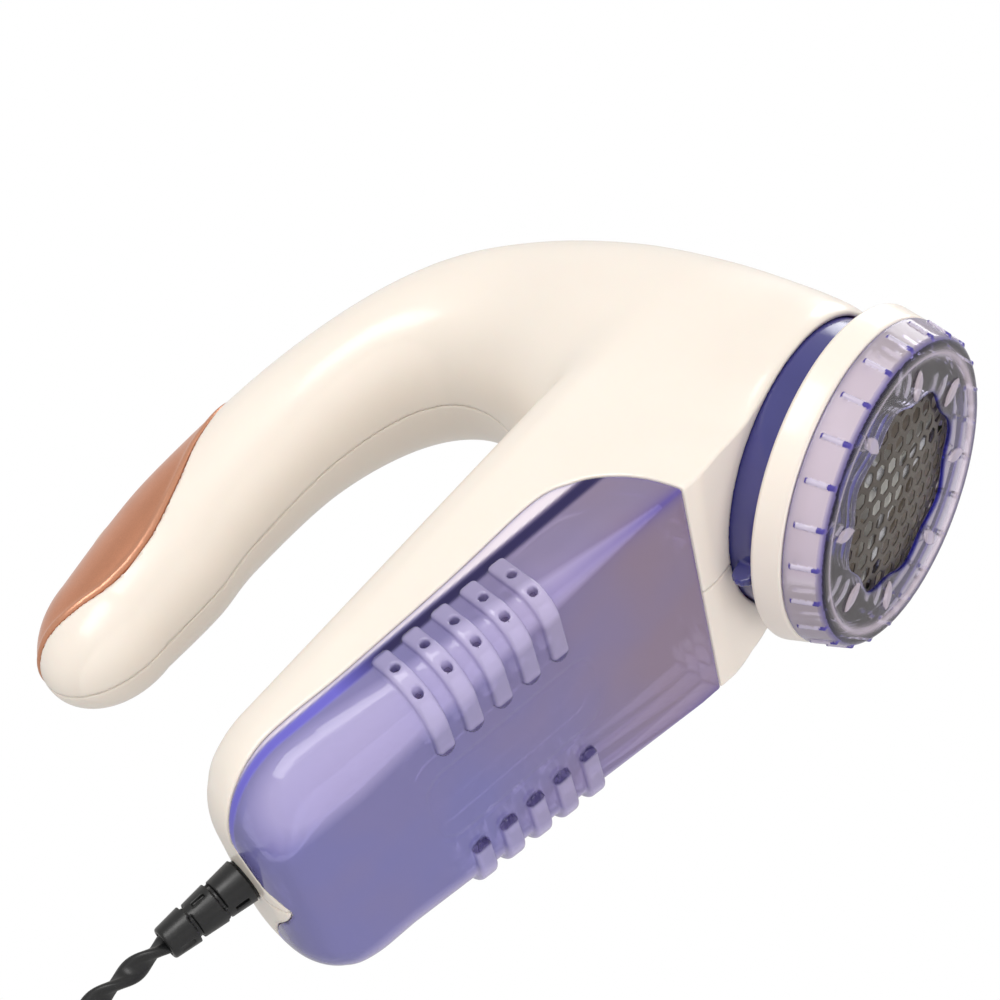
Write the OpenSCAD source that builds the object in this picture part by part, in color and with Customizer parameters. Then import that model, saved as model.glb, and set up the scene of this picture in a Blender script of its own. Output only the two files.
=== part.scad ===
// Mains fabric shaver with an iron-like handle, a round cutting head and a clear lint bin.
// Millimetres. Origin: centre of the guard's rim, the plane that glides on the fabric.
// +Z points from the cutting head up into the body, +X to the toe, away from the cable.

/* [Cutting head] */
// Outer radius of the clear guard at its rim
guard_r = 35; // [34:0.5:36]
// Height of the clear guard, from its rim to the cream ring
guard_h = 8.5; // [8:0.1:9]
// Largest radius of the cream foil ring
ring_r = 38.4; // [38:0.1:39]
// Height of the foil ring's rear face above the rim plane
ring_top = 15.3; // [15:0.1:16]
// Outer radius of the blue lock collar
collar_r = 32.9; // [32.5:0.1:33.2]
// Radius of the perforated steel foil
foil_r = 28.4; // [27.5:0.1:28.5]
// Number of lobes in the guard's opening
guard_lobes = 8; // [6:1:10]

/* [Body] */
// Height of the body's lower rim above the rim plane
neck_z = 23; // [22.9:0.1:24]
// Half width of the limb that carries the lint bin
limb_w = 32; // [31:0.5:33]
// Length of the limb along its sloping bottom, from the bin's front edge to the rear face
limb_length = 109.8; // [107:0.2:112]
// Height of the limb, square to its bottom, at the bin's front edge
limb_height = 49.5; // [48:0.5:51]
// Radius of the limb's long upper edges
limb_edge_r = 12; // [9:0.5:13]
// Thickness of the housing's plastic
wall = 2.4; // [2:0.1:2.6]

/* [Handle] */
// X of the middle of the handle's rounded end
grip_end = -110; // [-112:0.5:-107]
// Height of the handle's centre line at that end
grip_z = 138; // [136:0.5:139]
// Half width of the handle near its end
grip_w = 14.6; // [14:0.2:16]
// Half height of the handle near its end
grip_h = 15; // [14:0.2:16]
// Travel of the power switch
switch_travel = 5; // [4:0.5:6]

/* [Lint bin] */
// X of the bin's front edge
bin_front = -43; // [-44:0.5:-43]
// Height of the bin's bottom edge at the front
bin_low = 24; // [23.5:0.1:25]
// Slope of the bin's bottom, rising to the rear, in degrees
bin_slope = 12.7; // [12:0.1:13.5]
// Thickness of the bin's clear plastic
bin_wall = 2.1; // [1.8:0.1:2.2]
// Number of finger grip ribs on each side of the bin
grip_ribs = 5; // [3:1:5]

/* [Motor] */
// Radius of the motor can
motor_r = 16; // [14:0.5:16]
// Radius of the motor shaft
shaft_r = 1.6; // [1.5:0.05:2]
// Number of vanes on the suction fan
fan_vanes = 9; // [6:1:12]

/* [Cable] */
// Radius of the cable
cable_r = 2.5; // [2:0.1:3]

/* [Hidden] */

$fn = 48;
far = 200;                // longer than any part, for cutting planes
gap = 0.15;               // clearance between parts that only meet
run_gap = 0.06;           // radial clearance of a turning fit
ring_points = 32;         // points round one slice
limb_front = 34;          // how far the limb runs forwards into the head
rear_round = 17;          // plan radius of the limb's rear corners
rear_top_r = 8;           // radius of the rear face's upper edge
rear_low_r = 10;          // radius of the rear face's lower edge
cream = [0.95, 0.92, 0.88];
violet = [0.52, 0.50, 0.78, 0.55];
steel = [0.72, 0.72, 0.74];
black = [0.08, 0.08, 0.09];

// One slice of the head and handle: [x, z, turn from the vertical axis, half width, half depth, squareness]
body_line = [
    [0, neck_z, 0, 33.6, 33.6, 2],
    [0, neck_z + 4, 0, 34.6, 35.4, 2.1],
    [0, 40, 0, 33.2, 37.8, 2.2],
    [0.8, 60, 0, 32, 37.8, 2.3],
    [5.4, 82, 3, 29, 32.2, 2.2],
    [5.6, 103.6, 15, 25.4, 25.2, 2.1],
    [-2.2, 120, 32, 23.4, 19.8, 2.1],
    [-18.8, 131.8, 55, 21, 16.2, 2.1],
    [-44, 139.2, 80, 18.3, 15.3, 2.1],
    [-75, 141, 90, 16.8, 16.2, 2],
    [-92, 139.4, 94, 16.2, 16.5, 2],
    [grip_end, grip_z, 97, grip_w, grip_h, 2]
];
body_last = len(body_line) - 1;
tip_length = 20.5;        // how far the handle's end runs past its last slice

function clamp_index(i) = min(max(i, 0), body_last);
function catmull(a, b, c, d, t) =
    (2 * b + (c - a) * t + (2 * a - 5 * b + 4 * c - d) * t * t + (3 * b - a - 3 * c + d) * t * t * t) / 2;
function body_slice(u) =
    let (i = min(floor(u), body_last - 1))
    catmull(body_line[clamp_index(i - 1)], body_line[i], body_line[i + 1], body_line[clamp_index(i + 2)], u - i);
function signed_power(v, p) = sign(v) * pow(abs(v), p);
function squircle(depth, width, power) = [
    for (i = [0 : ring_points - 1])
        let (t = 360 * i / ring_points)
        [depth * signed_power(cos(t), 2 / power), width * signed_power(sin(t), 2 / power)]
];

// Skin over slices that all have the same number of points, closed with flat ends
module loft(slices) {
    n = len(slices[0]);
    last = len(slices) - 1;
    polyhedron(
        points = [for (s = slices) each s],
        faces = concat(
            [[for (i = [0 : n - 1]) i]],
            [for (k = [0 : last - 1]) for (i = [0 : n - 1])
                let (low = k * n, high = low + n, j = (i + 1) % n)
                each [[low + i, high + i, high + j], [low + i, high + j, low + j]]],
            [[for (i = [n - 1 : -1 : 0]) last * n + i]]));
}

// One slice of the body in space, set inwards by skin and then shrunk
function body_section(s, skin, shrink = 1) = [
    for (p = squircle((s[4] - skin) * shrink, (s[3] - skin) * shrink, s[5]))
        [s[0] + p[0] * cos(s[2]), p[1], s[1] + p[0] * sin(s[2])]
];

// Slice of the handle's rounded end, t degrees along a quarter ellipse
function tip_section(t, skin) =
    let (last = body_line[body_last], run = (tip_length - skin) * sin(t))
    body_section([last[0] - run * cos(last[2] - 90), last[1] - run * sin(last[2] - 90),
                  last[2], last[3], last[4], last[5]], skin, cos(t));

// The head and handle as one swept solid, set inwards by skin
module head_and_handle(skin, steps)
    loft(concat(
        [for (k = [0 : body_last * steps]) body_section(body_slice(k / steps), skin)],
        [for (t = [16 : 16 : 80]) tip_section(t, skin)],
        [tip_section(86, skin)]));

// The limb, in its own frame: origin at the bin's front edge, X forwards along the bottom, Z square to it
limb_taper = 0.194;       // loss of height per unit of length
module in_limb_frame() translate([bin_front, 0, bin_low]) rotate([0, bin_slope, 0]) children();

// How far a rounded end of radius r has drawn in at distance s from its tip
function round_in(r, s) = s >= r ? 0 : r - sqrt(r * r - (r - s) * (r - s));
function low_edge_r(d) = max(0.8, min(13, d * 0.15));

corner_steps = 5;
function arc(cx, cy, r, from) = [
    for (k = [0 : corner_steps])
        let (t = from + 90 * k / corner_steps)
        [cx + r * cos(t), cy + r * sin(t)]
];

// Slice at distance d behind the bin's front edge: a rectangle with rounded corners
function limb_section(d, skin) =
    let (s = max(limb_length - skin - d, 0),
         w = limb_w - skin - round_in(rear_round - skin, s) - (d < 0 ? 4 * pow(d / limb_front, 2) : 0),
         high = limb_height - limb_taper * d - skin - round_in(rear_top_r - skin, s),
         low = skin + round_in(rear_low_r - skin, s),
         r_high = max(0.5, min(limb_edge_r - skin, (high - low) / 2.2, w * 0.8)),
         r_low = max(0.4, min(low_edge_r(d) - skin / 2, (high - low) / 2.2, w * 0.8)))
    [for (p = concat(arc(w - r_high, high - r_high, r_high, 0), arc(-w + r_high, high - r_high, r_high, 90),
                     arc(-w + r_low, low + r_low, r_low, 180), arc(w - r_low, low + r_low, r_low, 270)))
        [-d, p[0], p[1]]];

// Distances of the slices from the rear face
limb_cuts = [0, 0.6, 2.4, 5.2, 9, 13, 17, 40, 70, limb_length, limb_length + 12, limb_length + 24, limb_length + limb_front];

module limb_local(skin)
    loft([for (c = limb_cuts) limb_section(limb_length - skin - c, skin)]);

module limb(skin) in_limb_frame() limb_local(skin);

// Side view of the bin's region: the parting line rises to the rear in a long curve
body_rear = -160;         // behind the limb's rear face
part_curve = [
    [bin_front, bin_low - 14], [bin_front, bin_low + 2], [bin_front - 1, bin_low + 10],
    [bin_front - 4, bin_low + 17], [bin_front - 8, bin_low + 21.5], [-59, 50], [-83, 53],
    [-112, 57.5], [-130, 61], [body_rear, 63.5], [body_rear, bin_low - 14]
];
// The tongue of housing that reaches down round the cable in the bin's rear wall
tongue = [[-19, 64.5], [-9.5, 59.5], [-3, 54], [0, 52.6], [3, 54], [9.5, 59.5], [19, 64.5], [19, 90], [-19, 90]];

module side_prism(points) rotate([90, 0, 0]) translate([0, 0, -far / 2]) linear_extrude(far) polygon(points);

module tongue_prism(grow)
    translate([body_rear, 0, 0]) rotate([90, 0, 90]) linear_extrude(26)
        polygon([for (p = tongue) [p[0] + sign(p[0]) * grow, p[1] - grow]]);

// Region that belongs to the bin; grow is positive to enlarge it
module bin_region(grow)
    difference() {
        translate([grow, 0, grow]) side_prism(part_curve);
        tongue_prism(-grow);
    }

// Everything behind the bin's front wall, so that the bin's inside is open at the top
module behind_front_wall(depth)
    side_prism([
        [bin_front - depth, -20], [bin_front - depth, bin_low + 2], [bin_front - 1 - depth, bin_low + 10],
        [bin_front - 4 - depth, bin_low + 17], [bin_front - 8 - depth, bin_low + 21.5],
        [bin_front - 8 - depth, 110], [-far, 110], [-far, -20]
    ]);

// Floor of the housing above the bin, nearly parallel to the limb's bottom
floor_front_z = 17.8;
floor_rear_z = 14.5;
module above_floor(lift)
    in_limb_frame()
        side_prism([[-2.6 - bin_wall, floor_front_z + lift], [-limb_length - 10, floor_rear_z + lift],
                    [-limb_length - 10, 90], [-2.6 - bin_wall, 90]]);

skirt = bin_wall + 0.25;  // how far the housing's inner skirt sits inside the bin's outer face

// Outer form of the whole housing
module housing_form() {
    head_and_handle(0, 2);
    difference() {
        limb(0);
        bin_region(0);
        translate([-far / 2, -far / 2, neck_z - 60]) cube([far, far, 60]);
    }
    intersection() {
        limb(skirt);
        above_floor(0);
        behind_front_wall(bin_wall + gap);
    }
}

neck_bore_r = collar_r + 0.3;
motor_room_r = 30.2;
boot_tilt = bin_slope;    // the boot leaves the rear face squarely
boot_x = -146.2;
boot_z = 66.2;
// Screw bosses: [x, z, y of the screw head's seat]
bosses = [[-116, 63.4, 12], [-64, 64, 12], [28, 58, 12], [21, 104, 12], [-57, 146, 9], [-101, 132, 8]];
screw_r = 1.5;
switch_x = -91;
switch_z = 156.1;         // crest of the handle under the switch
switch_tilt = 5.5;

module along_boot(d) translate([boot_x, 0, boot_z]) rotate([0, -90 + boot_tilt, 0]) translate([0, 0, d]) children();

// Bosses are drafted: they widen a little towards the wall that carries them
module boss_solids(side)
    for (b = bosses)
        translate([b[0], 0, b[1]]) rotate([side * 90, 0, 0])
            hull() {
                cylinder(r = 4.6, h = 1, $fn = 24);
                translate([0, 0, 44]) cylinder(r = 5.8, h = 1, $fn = 24);
            }

module boss_holes(side)
    for (b = bosses)
        translate([b[0], 0, b[1]]) rotate([side * 90, 0, 0]) {
            cylinder(r = screw_r + 0.1, h = side > 0 ? 9.5 : b[2] + 1, $fn = 20);
            if (side < 0) translate([0, 0, b[2]]) cylinder(r = 3.4, h = 60, $fn = 20);
        }

module housing_room() {
    head_and_handle(wall, 1);
    intersection() {
        limb(wall);
        above_floor(14);
    }
    intersection() {
        limb(skirt + 2.1);
        above_floor(2.1);
    }
    // passage from the head into the limb
    intersection() {
        limb(wall + 1);
        translate([-55, -25, 52]) cube([50, 50, 16]);
    }
}

module switch_slot(long, wide)
    translate([switch_x - switch_travel / 2, 0, switch_z]) rotate([0, -switch_tilt, 0])
        hull()
            for (end = [-1, 1])
                translate([end * (long - wide) / 2, 0, -20]) cylinder(r = wide / 2, h = 26, $fn = 24);

module duct_end(side)
    translate([-60, side * (duct_w + gap - 2), duct_low - gap])
        hull()
            for (z = [2, duct_h + 2 * gap - 2])
                translate([0, 0, z]) rotate([0, 90, 0]) cylinder(r = 2, h = 40, $fn = 16);

// side is 1 for the right half, where Y is negative, and -1 for the left half
module housing_half(side) {
    difference() {
        intersection() {
            union() {
                difference() {
                    housing_form();
                    housing_room();
                }
                intersection() {
                    housing_form();
                    boss_solids(side);
                }
            }
            translate([-far, side > 0 ? -far : 0, -1]) cube([2 * far, far, far]);
        }
        boss_holes(side);
        trim_body(0.1);
        switch_slot(15.4, 6.4);
        translate([0, 0, neck_z - 2]) cylinder(r = neck_bore_r, h = 5.4, $fn = 64);
        translate([0, 0, neck_z - 2]) cylinder(r = motor_room_r, h = 24, $fn = 64);
        // way for the lint duct, and the recess for its seal
        hull() for (side = [-1, 1]) duct_end(side);
        translate([bin_front - 0.5, -duct_w - seal_rim - 0.1, duct_low - seal_rim - 0.1])
            cube([2.1, 2 * (duct_w + seal_rim + 0.1), duct_h + 2 * (seal_rim + 0.1)]);
        // seat of the cable boot, way for the cable, and the clamp's screw holes
        along_boot(-4) cylinder(r = 4.5, h = 20, $fn = 32);
        along_boot(-7.1) cylinder(r = 6.3, h = 3.6, $fn = 32);
        along_boot(-13) cylinder(r = cable_r + 0.1, h = 12, $fn = 32);
        clamp_places() translate([0, 0, -14]) cylinder(r = screw_r + 0.1, h = 13, $fn = 20);
    }
}

module right_housing() color(cream) housing_half(1);
module left_housing() color(cream) housing_half(-1);

// Copper cover over the top of the handle's end: the side view of its lower edge is an S
trim_edge = [
    [-36, 158], [-47, 152.8], [-58, 148.5], [-67, 145.2], [-76, 141.2], [-84.5, 138], [-92, 135.6],
    [-101, 134.4], [-110, 135.2], [-118, 138], [-126, 142], [-140, 146], [-140, 180], [-36, 180]
];
trim_depth = 1.3;
module trim_body(grow)
    difference() {
        intersection() {
            head_and_handle(-grow, 2);
            side_prism([for (p = trim_edge) [p[0] + (p[0] > -40 ? grow : 0), p[1] - grow]]);
        }
        head_and_handle(trim_depth + grow, 2);
    }

module handle_trim() color([0.72, 0.48, 0.37])
    difference() {
        trim_body(0);
        switch_slot(13.8, 5);
    }

module power_switch() color([0.86, 0.80, 0.74])
    translate([switch_x, 0, switch_z]) rotate([0, -switch_tilt, 0]) {
        difference() {
            intersection() {
                translate([-7, -4.6, 0.3]) cube([14, 9.2, 2.6]);
                translate([0, 0, -17.6]) rotate([90, 0, 0]) cylinder(r = 20, h = 20, center = true);
            }
            for (i = [-2 : 2])
                translate([i * 2 - 0.4, -6, 1.9]) cube([0.8, 12, 2]);
        }
        translate([-2, -1.8, -9]) cube([4, 3.6, 9.7]);
    }

module switch_body() color([0.16, 0.16, 0.17])
    translate([switch_x - switch_travel / 2, 0, switch_z]) rotate([0, -switch_tilt, 0])
        difference() {
            translate([-12, -6, -17]) cube([24, 12, 11]);
            translate([-6, -2.2, -12]) cube([12, 4.4, 10]);
        }

module housing_screws() color(steel)
    for (b = bosses)
        translate([b[0], b[2] + 0.05, b[1]]) rotate([90, 0, 0]) {
            difference() {
                translate([0, 0, -2.2]) cylinder(r = 3, h = 2.2);
                translate([-2, -0.4, -2.4]) cube([4, 0.8, 1.2]);
                translate([-0.4, -2, -2.4]) cube([0.8, 4, 1.2]);
            }
            cylinder(r = screw_r, h = b[2] + 8);
        }

// The clear lint bin, with grip ribs that run round its lower edges and vent holes in each rib
duct_w = 13;
duct_low = bin_low + 3.5;
duct_h = 11;
seal_rim = 1.4;           // width of the seal beyond the duct's mouth
rib_pitch = 7.5;
rib_first = 38;           // distance of the first rib behind the bin's front edge
rib_w = 4.4;
rib_rise = 1.6;             // how far a rib stands out of the bin's side
rib_top = 14.5;
rib_reach = 15;           // how far a rib's lower end stays from the middle
vent_r = 1.05;

// A bar that stands up from below the limb, with a rounded end towards the middle
module rib_bar(side)
    translate([0, 0, rib_top - 20])
        hull() {
            translate([0, side * rib_w / 2, 0]) cylinder(r = rib_w / 2, h = 20, $fn = 20);
            translate([-rib_w / 2, side > 0 ? 29 : -30, 0]) cube([rib_w, 1, 20]);
        }

module lint_bin() color(violet)
    difference() {
        union() {
            difference() {
                intersection() {
                    limb(0);
                    bin_region(-gap);
                }
                intersection() {
                    limb(bin_wall);
                    behind_front_wall(bin_wall);
                }
            }
            in_limb_frame()
                difference() {
                    intersection() {
                        limb_local(-rib_rise);
                        for (i = [0 : grip_ribs - 1])
                            for (side = [-1, 1])
                                translate([-rib_first - i * rib_pitch, side * rib_reach, 0]) rib_bar(side);
                    }
                    limb_local(bin_wall);
                }
        }
        translate([bin_front - 6, -duct_w, duct_low]) cube([8, 2 * duct_w, duct_h]);
        in_limb_frame()
            for (i = [0 : grip_ribs - 1])
                for (z = [3, 9])
                    translate([-rib_first - i * rib_pitch, 0, z])
                        rotate([90, 0, 0]) cylinder(r = vent_r, h = far, center = true, $fn = 10);
    }

module bin_inlet_seal() color([0.25, 0.25, 0.27])
    translate([bin_front + 0.1, 0, 0])
        difference() {
            translate([0, -duct_w - seal_rim, duct_low - seal_rim])
                cube([1.4, 2 * (duct_w + seal_rim), duct_h + 2 * seal_rim]);
            translate([-1, -duct_w + 0.4, duct_low + 0.4]) cube([4, 2 * duct_w - 0.8, duct_h - 0.8]);
        }

// Clear guard: rim and fins in the rim plane, face set back between them, lobed opening
guard_open = 23;
module lobed_prism(r, wave, h)
    linear_extrude(h)
        polygon([for (a = [0 : 5 : 355]) let (q = r + wave * cos(guard_lobes * a)) [q * cos(a), q * sin(a)]]);

module guard_cap() color([0.86, 0.84, 0.93, 0.45])
    difference() {
        union() {
            rotate_extrude($fn = 96)
                polygon([[20, 0.7], [30.4, 0.7], [31.2, 0], [guard_r - 1.2, 0], [guard_r, 1.1], [37, guard_h - gap],
                         [35.3, guard_h - gap], [33.4, 2.2], [20, 1.7]]);
            for (i = [0 : guard_lobes - 1])
                rotate([0, 0, (i + 0.5) * 360 / guard_lobes])
                    translate([27, 0, 0]) linear_extrude(1.2)
                        polygon([[-2.6, -0.6], [0, -1.3], [3, 0], [0, 1.3], [-2.6, 0.6]]);
        }
        translate([0, 0, -1]) lobed_prism(guard_open, 1, 4);
    }

module foil_ring() color(cream)
    rotate_extrude($fn = 96)
        polygon([[26.2, 3.62], [28.8, 3.62], [33.2, guard_h], [36.6, guard_h], [37.1, guard_h + 0.6],
                 [ring_r, ring_top - 0.8], [ring_r - 0.8, ring_top], [neck_out + run_gap, ring_top],
                 [neck_out + run_gap, 10], [26.2, 10]]);

// Steel foil, slightly domed, pierced with hexagonal holes
foil_dome_r = 211;
hex_pitch = 4.6;
hex_r = 1.9;
function foil_z(r) = 1.2 + r * r / (2 * foil_dome_r);
module cutting_foil() color(steel)
    difference() {
        rotate_extrude($fn = 96)
            polygon(concat([for (r = [0 : 4 : 24]) [r, foil_z(r)]], [[foil_r, foil_z(foil_r)]],
                           [[foil_r, foil_z(foil_r) + 0.35]], [for (r = [24 : -4 : 0]) [r, foil_z(r) + 0.35]]));
        for (i = [-5 : 5])
            for (j = [-5 : 5])
                let (x = (i + j / 2) * hex_pitch, y = j * hex_pitch * sin(60))
                if (norm([x, y]) < foil_r - 5)
                    translate([x, y, 0]) rotate([0, 0, 30]) cylinder(r = hex_r, h = 6, $fn = 6);
    }

// Blue collar with its finger lever at the rear
neck_out = 29.9;
neck_in = 27.2;
module lock_collar() color([0.33, 0.34, 0.62]) {
    rotate_extrude($fn = 96)
        polygon([[neck_out + run_gap, ring_top + 0.1], [collar_r, ring_top + 0.1], [collar_r, neck_z + 2.8],
                 [neck_out + run_gap, neck_z + 2.8]]);
    translate([-37.6, -2.6, 16.4]) cube([6, 5.2, 5]);
}

// Rotor: hub with three arms, blades under them, spring, fan and shaft
module blade_hub() color([0.9, 0.9, 0.88])
    difference() {
        union() {
            translate([0, 0, 4.3]) cylinder(r = 8, h = 5.4);
            for (i = [0 : 2])
                rotate([0, 0, i * 120]) translate([0, -3, 4.3]) cube([22.5, 6, 2.2]);
        }
        translate([0, 0, 5.5]) cylinder(r = shaft_r + run_gap, h = 8);
    }

module cutter_blades() color(steel)
    for (i = [0 : 2])
        rotate([0, 0, i * 120]) translate([5, -2.4, 3.5]) cube([19, 4.8, 0.75]);

// Compression spring round the shaft, between the hub and the fan
spring_turns = 5;
spring_low = 10.4;
spring_r = 3.4;
function coil_point(a) = [spring_r * cos(a), spring_r * sin(a), spring_low + (fan_low - 4.6 - spring_low) * a / (360 * spring_turns)];
module blade_spring() color(steel)
    for (a = [0 : 36 : 360 * spring_turns - 36])
        hull()
            for (b = [a, a + 36])
                translate(coil_point(b)) sphere(r = 0.55, $fn = 6);

fan_low = 26;
fan_top = 36;
module suction_fan() color([0.93, 0.93, 0.9])
    difference() {
        union() {
            translate([0, 0, fan_low - 4]) cylinder(r = 5.5, h = fan_top - fan_low + 4);
            translate([0, 0, fan_top]) cylinder(r = 24.5, h = 1.3, $fn = 96);
            for (i = [0 : fan_vanes - 1])
                rotate([0, 0, i * 360 / fan_vanes])
                    translate([4.5, -0.6, fan_low]) cube([19.5, 1.2, fan_top - fan_low + 0.5]);
        }
        translate([0, 0, fan_low - 6]) cylinder(r = shaft_r + 0.02, h = 30);
    }

motor_low = 42.5;
motor_high = 80;
module motor_shaft() color(steel) translate([0, 0, 6]) cylinder(r = shaft_r, h = 79.5);

// Fixed chamber round the fan, with the neck for the head and the duct to the bin
module fan_chamber() color([0.9, 0.88, 0.84])
    difference() {
        union() {
            translate([0, 0, 10.2]) cylinder(r = neck_out, h = motor_low - 10.2, $fn = 96);
            translate([bin_front + 1.6, -duct_w + 1.5, duct_low + 0.1]) cube([20, 2 * duct_w - 3, duct_h - 0.2]);
        }
        translate([0, 0, 8]) cylinder(r = neck_in, h = motor_low - 10.5, $fn = 96);
        translate([bin_front, -duct_w + 3, duct_low + 1.6]) cube([24, 2 * duct_w - 6, duct_h - 3.2]);
        translate([0, 0, 30]) cylinder(r = 5, h = 20);
        for (side = [-1, 1])
            translate([0, side * 9, 30]) cylinder(r = 1.6, h = 20);
    }

module motor_can() color([0.6, 0.61, 0.63])
    difference() {
        translate([0, 0, motor_low]) cylinder(r = motor_r, h = motor_high - motor_low);
        translate([0, 0, motor_low + 3.5]) cylinder(r = motor_r - 1.2, h = 60);
        translate([0, 0, motor_low - 1]) cylinder(r = bush_r, h = 10);
        for (side = [-1, 1])
            translate([0, side * 9, motor_low - 1]) cylinder(r = 1.55, h = 4);
    }

bush_r = 3.2;
module bush(z) color([0.72, 0.55, 0.3])
    translate([0, 0, z])
        difference() {
            cylinder(r = bush_r - 0.02, h = 3.4);
            translate([0, 0, -1]) cylinder(r = shaft_r + 0.03, h = 6);
        }
module lower_bush() bush(motor_low + 0.05);
module upper_bush() bush(motor_high + 0.3);

module motor_magnets() color([0.2, 0.2, 0.21])
    for (side = [0, 180])
        rotate([0, 0, side - 65]) translate([0, 0, motor_low + 6])
            rotate_extrude(angle = 130) translate([12.6, 0]) square([motor_r - 1.3 - 12.6, 26]);

module armature() color([0.55, 0.35, 0.25])
    difference() {
        translate([0, 0, motor_low + 7]) cylinder(r = 12, h = 22);
        translate([0, 0, motor_low]) cylinder(r = shaft_r + 0.02, h = 40);
        for (i = [0 : 4])
            rotate([0, 0, i * 72]) translate([8, -1, motor_low]) cube([8, 2, 40]);
    }

module commutator() color([0.75, 0.5, 0.3])
    difference() {
        translate([0, 0, motor_high - 7]) cylinder(r = 3.6, h = 6);
        translate([0, 0, motor_high - 8]) cylinder(r = shaft_r + 0.02, h = 10);
    }

module carbon_brushes() color([0.15, 0.15, 0.15])
    for (side = [0, 180])
        rotate([0, 0, side]) translate([3.75, -2, motor_high - 6]) cube([8, 4, 4]);

module motor_end_bell() color([0.2, 0.2, 0.22])
    difference() {
        union() {
            translate([0, 0, motor_high + 0.02]) cylinder(r = motor_r, h = 4);
            for (side = [-1, 1])
                translate([side * 10 - 0.4, -1.5, motor_high + 4]) cube([0.8, 3, 3.4]);
        }
        translate([0, 0, motor_high - 1]) cylinder(r = bush_r, h = 8);
    }

module motor_screws() color(steel)
    for (side = [-1, 1])
        translate([0, side * 9, 0]) {
            translate([0, 0, 38.1]) cylinder(r = 2.6, h = 1.85);
            translate([0, 0, 39.9]) cylinder(r = 1.5, h = 5.4);
        }

// Electrics in the limb
board_z = 58.6;
module circuit_board() color([0.1, 0.4, 0.25]) translate([-108, -13, board_z]) cube([34, 26, 1.6]);
module bridge_rectifier() color(black) translate([-84, -8, board_z + 1.62]) cube([4, 15, 8]);
module capacitor() color([0.15, 0.2, 0.4])
    translate([-102, 0, board_z + 1.62 + 5.05]) rotate([0, 90, 0]) cylinder(r = 5, h = 13);

// A wire as a chain of straight runs with round ends
module wire(points, y)
    for (i = [0 : len(points) - 2])
        hull()
            for (p = [points[i], points[i + 1]])
                translate([p[0], y, p[1]]) sphere(r = 0.8, $fn = 8);

module wiring_harness() color([0.7, 0.15, 0.12]) {
    wire([[-128, 65], [-122, 69], [-116, 69.4], [-108, 70], [-96, 69.8], [-80, 69.6], [-72, 66], [-71, 58],
          [-64, 57.2], [-50, 58], [-36, 62], [-26, 66], [-20, 76], [-13, 90], [-9, 104], [-13, 119],
          [-36, 130.5], [-62, 133], [-74, 138]], -7.6);
    wire([[-74, 138], [-62, 132], [-36, 129.5], [-16, 121], [-6, 108], [2, 94], [9, 88.6]], 7.6);
}

// The cable clamp bridges the cable; its two screws go into the housing's floor
clamp_x = -134;
clamp_y = 6;
clamp_z = 67;             // underside of the clamp's bar
module clamp_places()
    for (side = [-1, 1])
        translate([clamp_x, side * clamp_y, clamp_z]) children();

module cord_clamp() color([0.85, 0.83, 0.8])
    difference() {
        union() {
            translate([clamp_x - 4, -9, clamp_z]) cube([8, 18, 2]);
            clamp_places() translate([0, 0, -4.1]) cylinder(r = 2.8, h = 5);
        }
        clamp_places() translate([0, 0, -6]) cylinder(r = screw_r + 0.1, h = 12);
    }
module clamp_screws() color(steel)
    clamp_places() {
        translate([0, 0, 2.02]) cylinder(r = 2.4, h = 1.6);
        translate([0, 0, -8]) cylinder(r = screw_r, h = 10.1);
    }

// Bend relief: an inner flange, a neck through the wall and three tapering segments
module cable_boot() color(black)
    along_boot(0)
        rotate_extrude($fn = 64)
            polygon([[cable_r + 0.05, -7], [6.2, -7], [6.2, -3.6], [4.4, -3.6], [4.4, 0.4], [4.9, 0.6], [4.7, 6],
                     [3.7, 6.2], [3.7, 7], [4.5, 7.2], [4.3, 12.4], [3.5, 12.6], [3.5, 13.4], [4.1, 13.6],
                     [3.8, 19], [3.3, 19.5], [cable_r + 0.05, 19.5]]);

// Cable: straight through the boot, then a bow that turns down to the plug
bow_r = 32;
bow_start = 32;
bow_turn = 60;
bow_slope = bow_turn - boot_tilt;     // how steeply the cable hangs at the plug
module power_cable() color(black) {
    along_boot(-12) cylinder(r = cable_r, h = bow_start + 12.01);
    along_boot(bow_start) translate([-bow_r, 0, 0]) rotate([90, 0, 0])
        rotate_extrude(angle = bow_turn) translate([bow_r, 0]) circle(cable_r);
}

// The plug carries on in the direction of the cable's end
plug_x = boot_x - bow_start * cos(boot_tilt) - bow_r * (sin(boot_tilt) + sin(bow_slope));
plug_z = boot_z + bow_start * sin(boot_tilt) - bow_r * (cos(boot_tilt) - cos(bow_slope));
plug_face = -38;
pin_y = 9.5;
pin_r = 2;
pin_length = 18.8;
pin_root_r = 1.6;
pin_root = 0.2;           // length of root that shows between the pin and the plug
module at_plug() translate([plug_x, 0, plug_z]) rotate([0, 90 - bow_slope, 0]) children();

module plug_body() color(black)
    at_plug()
        difference() {
            union() {
                hull() {
                    translate([0, 0, -10]) cylinder(r = 5, h = 4);
                    translate([0, 0, -22]) resize([13, 26, 6]) cylinder(r = 9, h = 6);
                }
                translate([0, 0, plug_face]) linear_extrude(16.5) hull()
                    for (side = [-1, 1]) translate([0, side * pin_y]) circle(6.8);
                translate([0, 0, -8]) cylinder(r = 4, h = 7.8);
            }
            translate([0, 0, -13]) cylinder(r = cable_r + 0.05, h = 20);
            for (side = [-1, 1])
                translate([0, side * pin_y, plug_face - 1]) cylinder(r = pin_root_r + 0.05, h = 9);
        }

// Each pin has a thinner root, moulded into the plug
module plug_pins() color([0.8, 0.72, 0.5])
    at_plug()
        for (side = [-1, 1])
            translate([0, side * pin_y, plug_face - pin_root - pin_length]) {
                cylinder(r = pin_r, h = pin_length);
                translate([0, 0, pin_length - 0.5]) cylinder(r = pin_root_r, h = 8.3);
            }

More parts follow.
